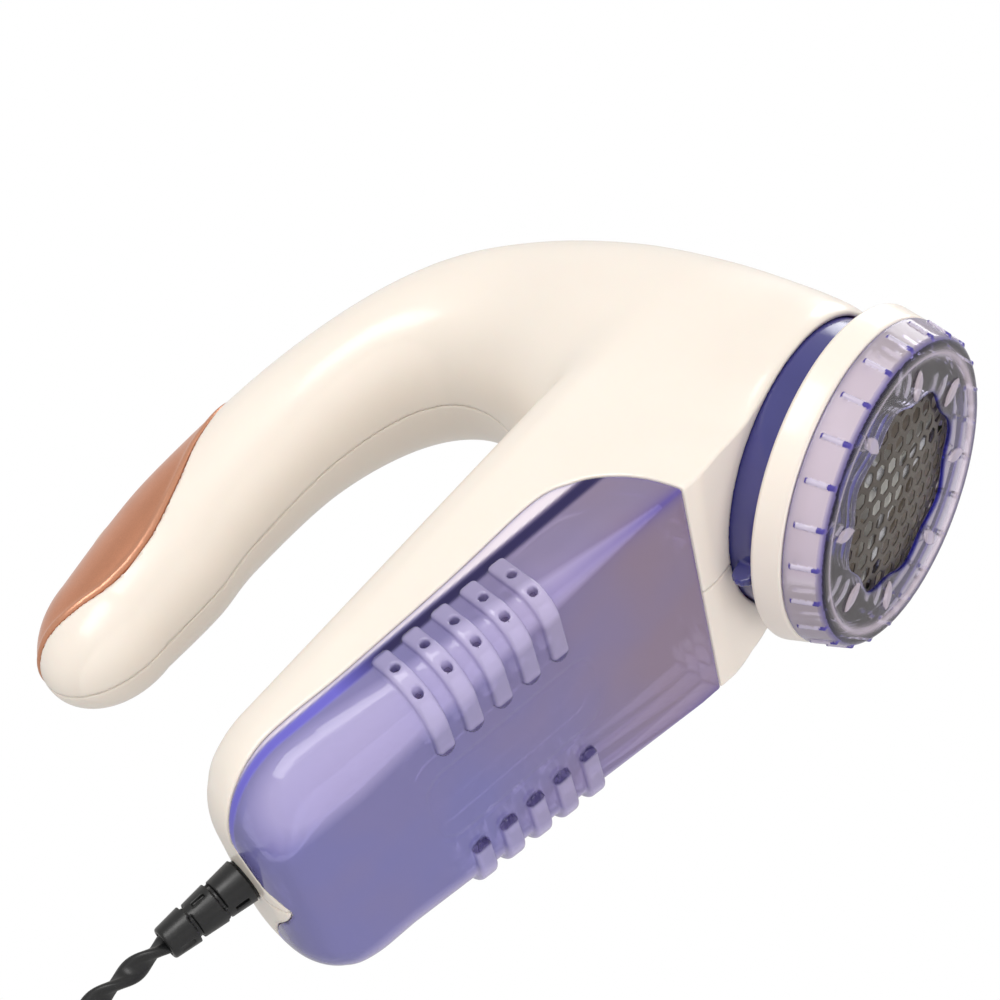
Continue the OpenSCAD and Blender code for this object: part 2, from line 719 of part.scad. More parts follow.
right_housing();
left_housing();
handle_trim();
power_switch();
switch_body();
housing_screws();
lint_bin();
bin_inlet_seal();
guard_cap();
foil_ring();
cutting_foil();
lock_collar();
blade_hub();
cutter_blades();
blade_spring();
suction_fan();
motor_shaft();
fan_chamber();
motor_can();
motor_magnets();
armature();
commutator();
carbon_brushes();
motor_end_bell();
lower_bush();
upper_bush();
motor_screws();
circuit_board();
bridge_rectifier();
capacitor();
wiring_harness();
cord_clamp();
clamp_screws();
cable_boot();
power_cable();
plug_body();
plug_pins();
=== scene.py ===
import math

import bpy
import numpy as np
from mathutils import Matrix, Vector


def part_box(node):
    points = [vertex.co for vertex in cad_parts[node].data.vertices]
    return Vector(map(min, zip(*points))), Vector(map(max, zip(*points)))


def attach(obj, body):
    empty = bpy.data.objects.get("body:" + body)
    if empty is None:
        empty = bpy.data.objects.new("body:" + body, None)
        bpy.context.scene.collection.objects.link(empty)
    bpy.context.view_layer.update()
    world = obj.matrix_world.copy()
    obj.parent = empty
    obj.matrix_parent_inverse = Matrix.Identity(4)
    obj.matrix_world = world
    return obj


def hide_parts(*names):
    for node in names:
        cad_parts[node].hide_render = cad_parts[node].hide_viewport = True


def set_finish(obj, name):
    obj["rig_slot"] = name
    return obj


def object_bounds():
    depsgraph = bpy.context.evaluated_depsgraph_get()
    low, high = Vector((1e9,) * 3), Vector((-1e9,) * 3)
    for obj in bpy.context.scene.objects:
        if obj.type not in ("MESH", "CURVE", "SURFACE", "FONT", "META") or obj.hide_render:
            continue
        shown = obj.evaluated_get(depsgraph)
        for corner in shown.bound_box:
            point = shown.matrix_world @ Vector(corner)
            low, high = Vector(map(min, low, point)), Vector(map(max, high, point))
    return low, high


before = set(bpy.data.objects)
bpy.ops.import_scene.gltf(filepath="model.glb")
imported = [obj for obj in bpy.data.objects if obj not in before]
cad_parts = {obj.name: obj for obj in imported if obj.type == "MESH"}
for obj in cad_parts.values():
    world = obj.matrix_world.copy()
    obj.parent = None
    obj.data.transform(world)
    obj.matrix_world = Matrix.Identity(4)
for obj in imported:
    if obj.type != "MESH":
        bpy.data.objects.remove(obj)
CAD_LOW, CAD_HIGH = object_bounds()

# Lengths below are in millimetres, in the CAD's own frame; MM turns them into Blender's metres.
MM = 0.001


def node_box(node):
    """Lowest and highest corner of a CAD node, in millimetres."""
    low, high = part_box(node)
    return np.array(low) / MM, np.array(high) / MM


# ---------------------------------------------------------------- places read from the CAD
CELL = 0.6
BODY_LOW, BODY_HIGH = node_box("right_housing")
RING_LOW, RING_HIGH = node_box("foil_ring")
GUARD_LOW, GUARD_HIGH = node_box("guard_cap")
COLLAR_LOW, COLLAR_HIGH = node_box("lock_collar")
FOIL_LOW, FOIL_HIGH = node_box("cutting_foil")
BIN_LOW, BIN_HIGH = node_box("lint_bin")
BOOT_LOW, BOOT_HIGH = node_box("cable_boot")
CHAMBER_LOW, CHAMBER_HIGH = node_box("fan_chamber")
CABLE_LOW, CABLE_HIGH = node_box("power_cable")

NECK_Z = BODY_LOW[2]
RING_R = RING_HIGH[0]
RING_TOP = RING_HIGH[2]
COLLAR_R = COLLAR_HIGH[0]
NECK_R = CHAMBER_HIGH[0]
GUARD_TOP = GUARD_HIGH[2]
FOIL_R = FOIL_HIGH[0]
BIN_FRONT = BIN_HIGH[0] + 0.15
GAP = 0.2
WALL = 2.4
BIN_WALL = 2.1
TRIM_DEPTH = 1.3
BIN_SLOPE = math.radians(12.7)
BIN_BOTTOM = NECK_Z + 1
LIMB_LENGTH = 109.8
LIMB_HEIGHT = 49.5
LIMB_TAPER = 0.194
LIMB_WIDTH = 32.0
LIMB_FRONT = 34.0

# Sections of the head and handle: x, z, turn from the vertical, half width, half depth, squareness
BODY_LINE = np.array([
    [0, NECK_Z, 0, 33.6, 33.6, 2],
    [0, NECK_Z + 4, 0, 34.6, 35.4, 2.1],
    [0, 40, 0, 33.2, 37.8, 2.2],
    [0.8, 60, 0, 32, 37.8, 2.3],
    [5.4, 82, 3, 29, 32.2, 2.2],
    [5.6, 103.6, 15, 25.4, 25.2, 2.1],
    [-2.2, 120, 32, 23.4, 19.8, 2.1],
    [-18.8, 131.8, 55, 21, 16.2, 2.1],
    [-44, 139.2, 80, 18.3, 15.3, 2.1],
    [-75, 141, 90, 16.8, 16.2, 2],
    [-92, 139.4, 94, 16.2, 16.5, 2],
    [-110, 138, 97, 14.6, 15, 2],
])
TIP_LENGTH = 20.5

# Side view of the parting line between the bin and the housing
PART_LINE = [
    (BIN_FRONT, BIN_BOTTOM - 14), (BIN_FRONT, BIN_BOTTOM + 2), (BIN_FRONT - 1, BIN_BOTTOM + 10),
    (BIN_FRONT - 4, BIN_BOTTOM + 17), (BIN_FRONT - 8, BIN_BOTTOM + 21.5), (-59, 50), (-83, 53),
    (-112, 57.5), (-130, 61), (-160, 63.5),
]
# Lower edge of the tongue round the cable: distance from the middle, height
TONGUE_LINE = [(0, 52.6), (3, 54), (9.5, 59.5), (19, 64.5), (24, 67)]
# Side view of the copper cover's lower edge
TRIM_LINE = [
    (-36, 158), (-47, 152.8), (-58, 148.5), (-67, 145.2), (-76, 141.2), (-84.5, 138), (-92, 135.6),
    (-101, 134.4), (-110, 135.2), (-118, 138), (-126, 142), (-140, 146),
]


# ---------------------------------------------------------------- curves
def catmull(points, per_span):
    """A smooth curve through the points."""
    p = np.asarray(points, float)
    padded = np.vstack([p[:1], p, p[-1:]])
    out = []
    for i in range(len(p) - 1):
        a, b, c, d = padded[i:i + 4]
        for t in np.linspace(0, 1, per_span, endpoint=False):
            out.append((2 * b + (c - a) * t + (2 * a - 5 * b + 4 * c - d) * t * t
                        + (3 * b - a - 3 * c + d) * t ** 3) / 2)
    out.append(p[-1])
    return np.array(out)


def polygon_distance(x, z, corners):
    """Signed distance from each (x, z) to a closed polygon, negative inside."""
    x, z = np.broadcast_arrays(x, z)
    nearest = np.full(x.shape, 1e9)
    inside = np.zeros(x.shape, bool)
    count = len(corners)
    for i in range(count):
        (ax, az), (bx, bz) = corners[i], corners[(i + 1) % count]
        ex, ez = bx - ax, bz - az
        share = np.clip(((x - ax) * ex + (z - az) * ez) / (ex * ex + ez * ez + 1e-12), 0, 1)
        nearest = np.minimum(nearest, (x - ax - share * ex) ** 2 + (z - az - share * ez) ** 2)
        if abs(ez) > 1e-9:
            crossing = ((az > z) != (bz > z)) & (x < ax + (z - az) * ex / ez)
            inside ^= crossing
    return np.where(inside, -1.0, 1.0) * np.sqrt(nearest)


# ---------------------------------------------------------------- distance fields
def smooth_min(a, b, k):
    """The lesser of two distances, with a fillet of about k where they meet."""
    h = np.clip(0.5 + 0.5 * (b - a) / k, 0, 1)
    return b * (1 - h) + a * h - k * h * (1 - h)


def smooth_max(a, b, k):
    return -smooth_min(-a, -b, k)


def smooth_all(k, *fields):
    out = fields[0]
    for f in fields[1:]:
        out = smooth_max(out, f, k)
    return out


class SideMap:
    """Values worked out once over the side view, X and Z, and read back by interpolation."""
    STEP = 0.5

    def __init__(self, low, high, values):
        self.low = np.array(low, float)
        xs = np.arange(low[0], high[0] + self.STEP, self.STEP)
        zs = np.arange(low[1], high[1] + self.STEP, self.STEP)
        self.data = values(*np.meshgrid(xs, zs, indexing="ij"))

    def __call__(self, x, z):
        x, z = np.broadcast_arrays(x, z)
        layers, nx, nz = self.data.shape
        u = np.clip((x - self.low[0]) / self.STEP, 0, nx - 1.001)
        v = np.clip((z - self.low[1]) / self.STEP, 0, nz - 1.001)
        i, j = u.astype(int), v.astype(int)
        s, t = u - i, v - j
        d = self.data
        return (d[:, i, j] * (1 - s) * (1 - t) + d[:, i + 1, j] * s * (1 - t)
                + d[:, i, j + 1] * (1 - s) * t + d[:, i + 1, j + 1] * s * t)


def sweep_values(x, z):
    """For each side-view point: place along its section's depth, half depth, half width, squareness, share past the tip."""
    line = catmull(BODY_LINE, 20)
    best = np.full(x.shape, 1e9)
    out = np.zeros((5,) + x.shape)
    first = line[0]
    out[0], out[1], out[2], out[3] = x, first[4], first[3], first[5]
    before = None
    for k, row in enumerate(line):
        turn = math.radians(row[2])
        ahead = (x - row[0]) * -math.sin(turn) + (z - row[1]) * math.cos(turn)
        depth = (x - row[0]) * math.cos(turn) + (z - row[1]) * math.sin(turn)
        if before is not None:
            last_ahead, last_depth, last_row = before
            share = last_ahead / (last_ahead - ahead + 1e-12)
            a = last_depth + (depth - last_depth) * share
            mid = last_row[:, None, None] + (row - last_row)[:, None, None] * share
            take = (last_ahead >= 0) & (ahead < 0) & (np.abs(a) / mid[4] < best)
            best = np.where(take, np.abs(a) / mid[4], best)
            for layer, value in enumerate((a, mid[4], mid[3], mid[5], 0 * a)):
                out[layer] = np.where(take, value, out[layer])
        before = (ahead, depth, row)
    past = (ahead >= 0) & (np.hypot(ahead / TIP_LENGTH, depth / row[4]) < best)
    for layer, value in enumerate((depth, row[4], row[3], row[5], ahead / TIP_LENGTH)):
        out[layer] = np.where(past, value, out[layer])
    return out


def line_values(x, z):
    """Distances to the parting line's region and to the copper cover's region."""
    part = [tuple(p) for p in catmull(PART_LINE, 6)] + [(-160, BIN_BOTTOM - 14)]
    trim = [tuple(p) for p in catmull(TRIM_LINE, 6)] + [(-140, 180), (-36, 180)]
    return np.array([polygon_distance(x, z, part), polygon_distance(x, z, trim)])


SWEEP = SideMap((-150, 10), (50, 170), sweep_values)
LINES = SideMap((-165, 5), (50, 175), line_values)


def sweep_field(x, y, z):
    """Distance to the head and handle."""
    a, depth, width, power, past = SWEEP(x, z)
    across, up = np.abs(y) / width, np.abs(a) / depth
    inside = np.maximum((across ** power + up ** power) ** (1 / power), 1e-4)
    slope = np.hypot(up ** (power - 1) / depth, across ** (power - 1) / width) * inside ** (1 - power)
    rho = np.hypot(inside, past)
    slope = np.hypot(inside / rho * slope, past / rho / TIP_LENGTH)
    return (rho - 1) / slope


def round_in(r, s):
    """How far a rounded end has drawn in at distance s from its tip."""
    s = np.clip(s, 0, r)
    return r - np.sqrt(r * r - (r - s) ** 2)


def to_limb(x, z):
    """A side-view point in the limb's own frame: distance behind the bin's front, and height over the bottom."""
    dx, dz = x - BIN_FRONT, z - BIN_BOTTOM
    c, s = math.cos(BIN_SLOPE), math.sin(BIN_SLOPE)
    return -(dx * c - dz * s), dx * s + dz * c


def limb_local_field(d, y, h, least=0.9):
    """Distance to the limb in its own frame. The lower edges are rounded by at least the last value."""
    s = LIMB_LENGTH - d
    width = LIMB_WIDTH - round_in(17, s) - np.where(d < 0, 4 * (d / LIMB_FRONT) ** 2, 0)
    high = LIMB_HEIGHT - LIMB_TAPER * d - round_in(8, s)
    low = round_in(10, s)
    mid, half = (high + low) / 2, (high - low) / 2
    r_high = np.minimum(12.0, half * 0.9)
    r_low = np.minimum(np.clip(d * 0.15, least, 13), half * 0.9)
    r = np.where(h > mid, r_high, r_low)
    qy, qh = np.abs(y) - width + r, np.abs(h - mid) - half + r
    flat = np.minimum(np.maximum(qy, qh), 0) + np.hypot(np.maximum(qy, 0), np.maximum(qh, 0)) - r
    return np.maximum(np.maximum(flat, -s), -d - LIMB_FRONT)


def limb_field(x, y, z):
    d, h = to_limb(x, z)
    return limb_local_field(d, y, h)


TONGUE = catmull(TONGUE_LINE, 8)


def bin_region(x, y, z):
    """Distance to the region below the parting line, without the tongue round the cable."""
    side = LINES(x, z)[0]
    edge = np.interp(np.abs(y), TONGUE[:, 0], TONGUE[:, 1])
    tongue = np.maximum((edge - z) * 0.85, x + 134)
    return np.maximum(side, -tongue)


def floor_field(d, h):
    """Negative above the housing's floor, which closes the top of the bin."""
    return (17.8 - 3.3 * (d - 5) / 115 - h)


def cylinder_y(x, z, place, r):
    return np.hypot(x - place[0], z - place[1]) - r


# ---------------------------------------------------------------- meshes from fields
CORNERS = [(i, j, k) for i in (0, 1) for j in (0, 1) for k in (0, 1)]
EDGES = [(a, b) for a in range(8) for b in range(a + 1, 8)
         if sum(abs(p - q) for p, q in zip(CORNERS[a], CORNERS[b])) == 1]


def surface_net(field, low, high, cell):
    """A closed quad mesh of the field's zero level, its points pulled onto the surface."""
    low, high = np.array(low, float), np.array(high, float)
    cell = np.broadcast_to(np.array(cell, float), 3)
    count = np.ceil((high - low) / cell).astype(int) + 1
    axes = [low[i] + cell[i] * np.arange(count[i]) for i in range(3)]
    f = np.asarray(field(axes[0][:, None, None], axes[1][None, :, None], axes[2][None, None, :]), np.float32)
    f = np.broadcast_to(f, tuple(count)).copy()
    f[[0, -1]] = np.maximum(f[[0, -1]], 0.01)
    f[:, [0, -1]] = np.maximum(f[:, [0, -1]], 0.01)
    f[:, :, [0, -1]] = np.maximum(f[:, :, [0, -1]], 0.01)
    inside = f < 0
    window = [slice(0, -1), slice(1, None)]
    total = sum(inside[window[i], window[j], window[k]].astype(np.int8) for i, j, k in CORNERS)
    cells = np.argwhere((total > 0) & (total < 8))
    number = np.full(tuple(count - 1), -1, np.int32)
    number[tuple(cells.T)] = np.arange(len(cells))
    values = np.stack([f[tuple((cells + c).T)] for c in CORNERS], 1)
    sums, hits = np.zeros((len(cells), 3)), np.zeros(len(cells))
    for a, b in EDGES:
        va, vb = values[:, a], values[:, b]
        cross = (va < 0) != (vb < 0)
        t = np.where(cross, va / np.where(cross, va - vb, 1), 0)[:, None]
        place = np.array(CORNERS[a]) + t * (np.array(CORNERS[b]) - np.array(CORNERS[a]))
        sums += place * cross[:, None]
        hits += cross
    points = low + cell * (cells + sums / hits[:, None])
    quads = []
    for axis in range(3):
        u, v = (axis + 1) % 3, (axis + 2) % 3
        start, end = [slice(None)] * 3, [slice(None)] * 3
        start[axis], end[axis] = slice(0, -1), slice(1, None)
        edges = np.argwhere(inside[tuple(start)] != inside[tuple(end)])
        outward = inside[tuple(start)][tuple(edges.T)]
        ring = []
        for du, dv in ((1, 1), (0, 1), (0, 0), (1, 0)):
            cell_index = edges.copy()
            cell_index[:, u] -= du
            cell_index[:, v] -= dv
            ring.append(number[tuple(cell_index.T)])
        ring = np.stack(ring, 1)
        quads.append(np.where(outward[:, None], ring, ring[:, ::-1]))
    quads = np.vstack(quads)
    for _ in range(3):
        points = pull_to_surface(field, points, cell.min())
    return points, quads


def gradient(field, p, step):
    out = np.zeros_like(p)
    for i in range(3):
        d = np.zeros(3)
        d[i] = step
        out[:, i] = field(*(p + d).T) - field(*(p - d).T)
    return out / (2 * step)


def pull_to_surface(field, points, cell):
    """One step of each point onto the zero level, no further than a third of a cell."""
    g = gradient(field, points, 0.05)
    step = -field(*points.T)[:, None] * g / np.maximum((g * g).sum(1), 0.05)[:, None]
    long = np.linalg.norm(step, axis=1)[:, None]
    return points + step * np.minimum(1, cell / 3 / np.maximum(long, 1e-9))


def new_object(name, points, faces, smooth=True):
    """A Blender mesh object from points in millimetres."""
    mesh = bpy.data.meshes.new(name)
    points = np.asarray(points, float) * MM
    faces = [tuple(map(int, f)) for f in faces] if not isinstance(faces, np.ndarray) else faces
    if isinstance(faces, np.ndarray):
        size = faces.shape[1]
        mesh.vertices.add(len(points))
        mesh.vertices.foreach_set("co", points.astype(np.float32).ravel())
        mesh.loops.add(faces.size)
        mesh.loops.foreach_set("vertex_index", faces.astype(np.int32).ravel())
        mesh.polygons.add(len(faces))
        mesh.polygons.foreach_set("loop_start", np.arange(len(faces), dtype=np.int32) * size)
        mesh.update(calc_edges=True)
    else:
        mesh.from_pydata([tuple(p) for p in points], [], faces)
    mesh.validate()
    if smooth:
        mesh.shade_smooth()
    made = bpy.data.objects.new(name, mesh)
    bpy.context.scene.collection.objects.link(made)
    return made


def add_weight(made, name, values):
    """A number on every point that a material can read."""
    layer = made.data.attributes.new(name, "FLOAT", "POINT")
    layer.data.foreach_set("value", np.asarray(values, np.float32))


def lathe(profile, steps=192):
    """Points and quads of a closed profile, (radius, height), turned round Z."""
    profile = np.asarray(profile, float)
    n = len(profile)
    turn = np.arange(steps) * 2 * math.pi / steps
    points = np.stack([np.outer(np.cos(turn), profile[:, 0]), np.outer(np.sin(turn), profile[:, 0]),
                       np.tile(profile[:, 1], (steps, 1))], 2).reshape(-1, 3)
    i, j = np.meshgrid(np.arange(steps), np.arange(n), indexing="ij")
    i, j = i.ravel(), j.ravel()
    i2, j2 = (i + 1) % steps, (j + 1) % n
    return points, np.stack([i * n + j, i2 * n + j, i2 * n + j2, i * n + j2], 1)


def rounded(corners, r, steps=4):
    """A closed outline with its corners rounded."""
    out = []
    count = len(corners)
    for i in range(count):
        before, here, after = (np.array(corners[(i + k) % count], float) for k in (-1, 0, 1))
        a, b = before - here, after - here
        reach = min(r, np.linalg.norm(a) * 0.45, np.linalg.norm(b) * 0.45)
        a, b = here + a / np.linalg.norm(a) * reach, here + b / np.linalg.norm(b) * reach
        for t in np.linspace(0, 1, steps + 1):
            out.append((1 - t) ** 2 * a + 2 * t * (1 - t) * here + t * t * b)
    return np.array(out)


def tube(path, radius, sides=16):
    """Points and faces of a round tube with closed ends along a path."""
    path = np.asarray(path, float)
    along = np.gradient(path, axis=0)
    along /= np.linalg.norm(along, axis=1)[:, None]
    side = np.cross(along[0], (0.3, 1, 0.2))
    points, faces = [], []
    radius = np.broadcast_to(radius, len(path))
    for k, (p, t) in enumerate(zip(path, along)):
        side = side - t * (side @ t)
        side /= np.linalg.norm(side)
        other = np.cross(t, side)
        for i in range(sides):
            angle = 2 * math.pi * i / sides
            points.append(p + radius[k] * (math.cos(angle) * side + math.sin(angle) * other))
        if k:
            for i in range(sides):
                j = (i + 1) % sides
                faces.append(((k - 1) * sides + i, (k - 1) * sides + j, k * sides + j, k * sides + i))
    last = (len(path) - 1) * sides
    faces.append(tuple(range(sides))[::-1])
    faces.append(tuple(last + i for i in range(sides)))
    return np.array(points), faces


def rotated(dx, dz, angle):
    """Side-view offsets read along axes tilted by angle: along, then up."""
    c, s = math.cos(angle), math.sin(angle)
    return dx * c + dz * s, dz * c - dx * s


# ---------------------------------------------------------------- housing
LIMB_FILLET = 5.0
RIM_SWELL = 0.45
EDGE = 0.7
SKIRT = BIN_WALL + 0.25
FLOOR_FRONT, FLOOR_REAR, FLOOR_START = 17.8, 14.5, 4.7
BORE_R = COLLAR_R + 0.3
MOTOR_ROOM_R = NECK_R + 0.3
BOOT_PLACE = (-146.2, 66.2)
BOOT_AXIS = np.array([-math.cos(BIN_SLOPE), 0, math.sin(BIN_SLOPE)])
CABLE_R = CABLE_HIGH[1]
# Screw bosses: x, z, and how far from the middle the screw head sits
BOSSES = [(-116, 63.4, 12), (-64, 64, 12), (28, 58, 12), (21, 104, 12), (-57, 146, 9), (-101, 132, 8)]
SCREW_R = 1.6
DUCT_W, DUCT_LOW, DUCT_H, SEAL_RIM = 13, BIN_BOTTOM + 3.5, 11, 1.4
CLAMP_PLACE = (-134, 6)
SWITCH_PLACE = (-91, 156.1)
SWITCH_TILT = math.radians(5.5)
SWITCH_TRAVEL = 5


def floor_height(d):
    """Height of the housing's floor over the limb's bottom."""
    return FLOOR_FRONT + (FLOOR_REAR - FLOOR_FRONT) * (d - FLOOR_START) / (LIMB_LENGTH + 10 - FLOOR_START)


def above_floor(d, h, lift):
    return np.maximum(floor_height(d) + lift - h, FLOOR_START - d)


def behind_front(x, z, depth):
    """Negative behind the bin's front wall, whose thickness is depth."""
    front = PART_LINE[:5]
    return x + depth - np.interp(z, [p[1] for p in front], [p[0] for p in front])


def box_field(x, y, z, low, high):
    parts = [np.maximum(low[i] - v, v - high[i]) for i, v in enumerate((x, y, z))]
    return np.maximum(np.maximum(parts[0], parts[1]), parts[2])


def boot_frame(x, y, z):
    """Distance along the boot from the limb's rear face, and distance from its axis."""
    along, up = rotated(x - BOOT_PLACE[0], z - BOOT_PLACE[1], math.pi - BIN_SLOPE)
    return along, np.hypot(y, up)


def slot_field(x, y, z, length, width):
    """The slot that the switch's stem slides in."""
    lx, lz = rotated(x - SWITCH_PLACE[0] + SWITCH_TRAVEL / 2, z - SWITCH_PLACE[1], SWITCH_TILT)
    reach = np.maximum(np.abs(lx) - (length - width) / 2, 0)
    return np.maximum(np.hypot(reach, y) - width / 2, np.maximum(-20 - lz, lz - 6))


def housing_cuts(x, y, z, side):
    """Everything that is cut out of a half after it has been hollowed."""
    r = np.hypot(x, y)
    cuts = [
        np.maximum(r - BORE_R, z - NECK_Z - 3.4),
        np.maximum(r - MOTOR_ROOM_R, z - NECK_Z - 22),
        box_field(x, y, z, (-60, -DUCT_W - 0.15, DUCT_LOW - 0.15), (-20, DUCT_W + 0.15, DUCT_LOW + DUCT_H + 0.15)),
        box_field(x, y, z, (BIN_FRONT - 0.5, -DUCT_W - SEAL_RIM - 0.1, DUCT_LOW - SEAL_RIM - 0.1),
                  (BIN_FRONT + 1.6, DUCT_W + SEAL_RIM + 0.1, DUCT_LOW + DUCT_H + SEAL_RIM + 0.1)),
        slot_field(x, y, z, 15.4, 6.4),
    ]
    along, radial = boot_frame(x, y, z)
    for low, high, radius in ((-4, 16, 4.5), (-7.1, -3.5, 6.3), (-13, -1, CABLE_R + 0.1)):
        cuts.append(np.maximum(radial - radius, np.abs(along - (low + high) / 2) - (high - low) / 2))
    clamp = np.hypot(x - CLAMP_PLACE[0], np.abs(y) - CLAMP_PLACE[1]) - SCREW_R
    cuts.append(np.maximum(clamp, np.abs(z - 59.5) - 6.5))
    out = np.abs(y)
    for bx, bz, seat in BOSSES:
        radial = np.hypot(x - bx, z - bz)
        if side < 0:
            cuts.append(np.maximum(radial - SCREW_R, out - 9.5))
        else:
            cuts.append(np.maximum(radial - SCREW_R, out - seat - 1))
            cuts.append(np.maximum(radial - 3.4, seat - out))
    return np.minimum.reduce(np.broadcast_arrays(*cuts))


def housing_field(side):
    """One half of the housing: side is -1 for the right half, where Y is negative, and 1 for the left."""
    def field(x, y, z):
        sweep = sweep_field(x, y, z)
        d, h = to_limb(x, z)
        limb = limb_local_field(d, y, h)
        lip = RIM_SWELL * np.exp(-((z - NECK_Z) / 3) ** 2)
        outer = smooth_max(smooth_min(sweep - lip, limb, LIMB_FILLET), -bin_region(x, y, z), EDGE)
        outer = smooth_max(outer, NECK_Z + 0.1 - z, 0.3)
        skirt = smooth_all(0.4, limb + SKIRT, above_floor(d, h, 0), behind_front(x, z, BIN_WALL + 0.15))
        outer = np.minimum(outer, skirt)
        room = np.minimum(sweep + WALL, np.maximum(limb + WALL, above_floor(d, h, 14)))
        room = np.minimum(room, np.maximum(limb + SKIRT + 2.1, above_floor(d, h, 2.1)))
        room = np.minimum(room, np.maximum(limb + WALL + 1, box_field(x, y, z, (-55, -25, 52), (-5, 25, 68))))
        shell = smooth_max(outer, -room, 0.3)
        for bx, bz, _ in BOSSES:
            boss = np.hypot(x - bx, z - bz) - 4.6 - 1.2 * np.abs(y) / 44
            shell = np.minimum(shell, np.maximum(boss, outer))
        recess = np.maximum(-(sweep + TRIM_DEPTH + 0.12), LINES(x, z)[1] - 0.16)
        shell = smooth_max(shell, -recess, 0.25)
        shell = smooth_max(shell, -housing_cuts(x, y, z, side), 0.25)
        return smooth_max(shell, 0.03 - side * y, 0.12)
    return field


def make_housing(name, side):
    low, high = BODY_LOW - 2, BODY_HIGH + 2
    low[1], high[1] = (-LIMB_WIDTH - 4, 1) if side < 0 else (-1, LIMB_WIDTH + 4)
    points, faces = surface_net(housing_field(side), low, high, CELL)
    made = new_object(name, points, faces)
    x, y, z = points.T
    add_weight(made, "seam", np.exp(-np.abs(y) / 0.3))
    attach(made, "main")
    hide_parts("right_housing" if side < 0 else "left_housing")
    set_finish(made, "cream_plastic")
    return made


# ---------------------------------------------------------------- copper cover and switch
def trim_field(x, y, z):
    sweep = sweep_field(x, y, z)
    edge = LINES(x, z)[1]
    lip = 0.3 * np.exp(-((edge + 1.0) / 0.55) ** 2)
    body = smooth_all(0.4, sweep - 0.1 - lip, -(sweep + TRIM_DEPTH), edge + 0.1)
    return smooth_max(body, -slot_field(x, y, z, 13.8, 5), 0.3)


def make_trim():
    low, high = node_box("handle_trim")
    points, faces = surface_net(trim_field, low - 1.5, high + 1.5, 0.45)
    made = new_object("handle_cover", points, faces)
    x, y, z = points.T
    # edge: where the painted highlight along the lip at the cover's lower edge goes
    add_weight(made, "edge", np.exp(-np.abs(LINES(x, z)[1] + 0.9) / 0.7))
    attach(made, "main")
    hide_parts("handle_trim")
    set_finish(made, "copper_trim")
    return made


def knob_field(x, y, z):
    lx, lz = rotated(x - SWITCH_PLACE[0], z - SWITCH_PLACE[1], SWITCH_TILT)
    qx, qy = np.abs(lx) - 7 + 2, np.abs(y) - 4.6 + 2
    plan = np.minimum(np.maximum(qx, qy), 0) + np.hypot(np.maximum(qx, 0), np.maximum(qy, 0)) - 2
    arch = np.hypot(lx, lz + 17.6) - 20
    cap = smooth_all(0.8, plan, arch + 0.12 * (np.abs(y) / 4.6) ** 2, 0.3 - lz)
    ridge = np.abs(lx - 2 * np.clip(np.round(lx / 2), -2, 2)) - 0.42
    cap = smooth_max(cap, -np.maximum(np.maximum(ridge, 1.9 - lz), np.abs(y) - 3.6), 0.2)
    stem = np.maximum(np.maximum(np.abs(lx) - 2, np.abs(y) - 1.8), np.maximum(-9 - lz, lz - 0.7))
    return np.minimum(cap, stem)


def make_knob():
    low, high = node_box("power_switch")
    points, faces = surface_net(knob_field, low - 0.8, high + 0.8, 0.22)
    made = new_object("slide_switch_knob", points, faces)
    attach(made, "switch")
    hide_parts("power_switch")
    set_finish(made, "switch_knob")
    return made


# ---------------------------------------------------------------- clear lint bin
RIB_PITCH, RIB_FIRST, RIB_COUNT, RIB_W, RIB_RISE, RIB_TOP, RIB_REACH = 7.5, 38, 5, 4.4, 1.6, 14.5, 15
VENT_R = 1.05
INNER_ROUND = 4.0
VENT_HEIGHTS = (3, 9)


def rib_offset(d):
    """Distance along the bin to the middle of the nearest rib."""
    return d - RIB_FIRST - RIB_PITCH * np.clip(np.round((d - RIB_FIRST) / RIB_PITCH), 0, RIB_COUNT - 1)


def rib_field(d, y, h, limb):
    off = rib_offset(d)
    short = np.minimum(np.abs(y) - RIB_REACH - RIB_W / 2, 0)
    bar = np.hypot(off, short) - RIB_W / 2
    return smooth_all(1.1, limb - RIB_RISE, bar, h - RIB_TOP)


def bin_field(x, y, z):
    d, h = to_limb(x, z)
    limb = limb_local_field(d, y, h)
    region = bin_region(x, y, z) + GAP
    outer = smooth_max(limb, region, 0.5)
    # a shallow panel line runs round the ribs' lower ends
    panel = np.hypot(np.maximum(np.abs(d - 53) - 17, 0), np.maximum(np.abs(y) - 5, 0)) - 5
    outer = outer + 0.16 * np.exp(-(panel / 0.5) ** 2) * (h < 1.5)
    ribs = rib_field(d, y, h, limb)
    inner = limb_local_field(d, y, h, INNER_ROUND)
    hollow = smooth_max(inner + BIN_WALL, behind_front(x, z, BIN_WALL), 1.2)
    shell = smooth_max(outer, -hollow, 0.4)
    ribs = np.maximum(ribs, -(limb + BIN_WALL))
    shell = smooth_min(shell, ribs, 0.35)
    for height in VENT_HEIGHTS:
        shell = smooth_max(shell, -np.maximum(np.hypot(rib_offset(d), h - height) - VENT_R, 20 - np.abs(y)), 0.25)
    mouth = box_field(x, y, z, (BIN_FRONT - 6, -DUCT_W, DUCT_LOW), (BIN_FRONT + 2, DUCT_W, DUCT_LOW + DUCT_H))
    return smooth_max(shell, -mouth, 0.3)


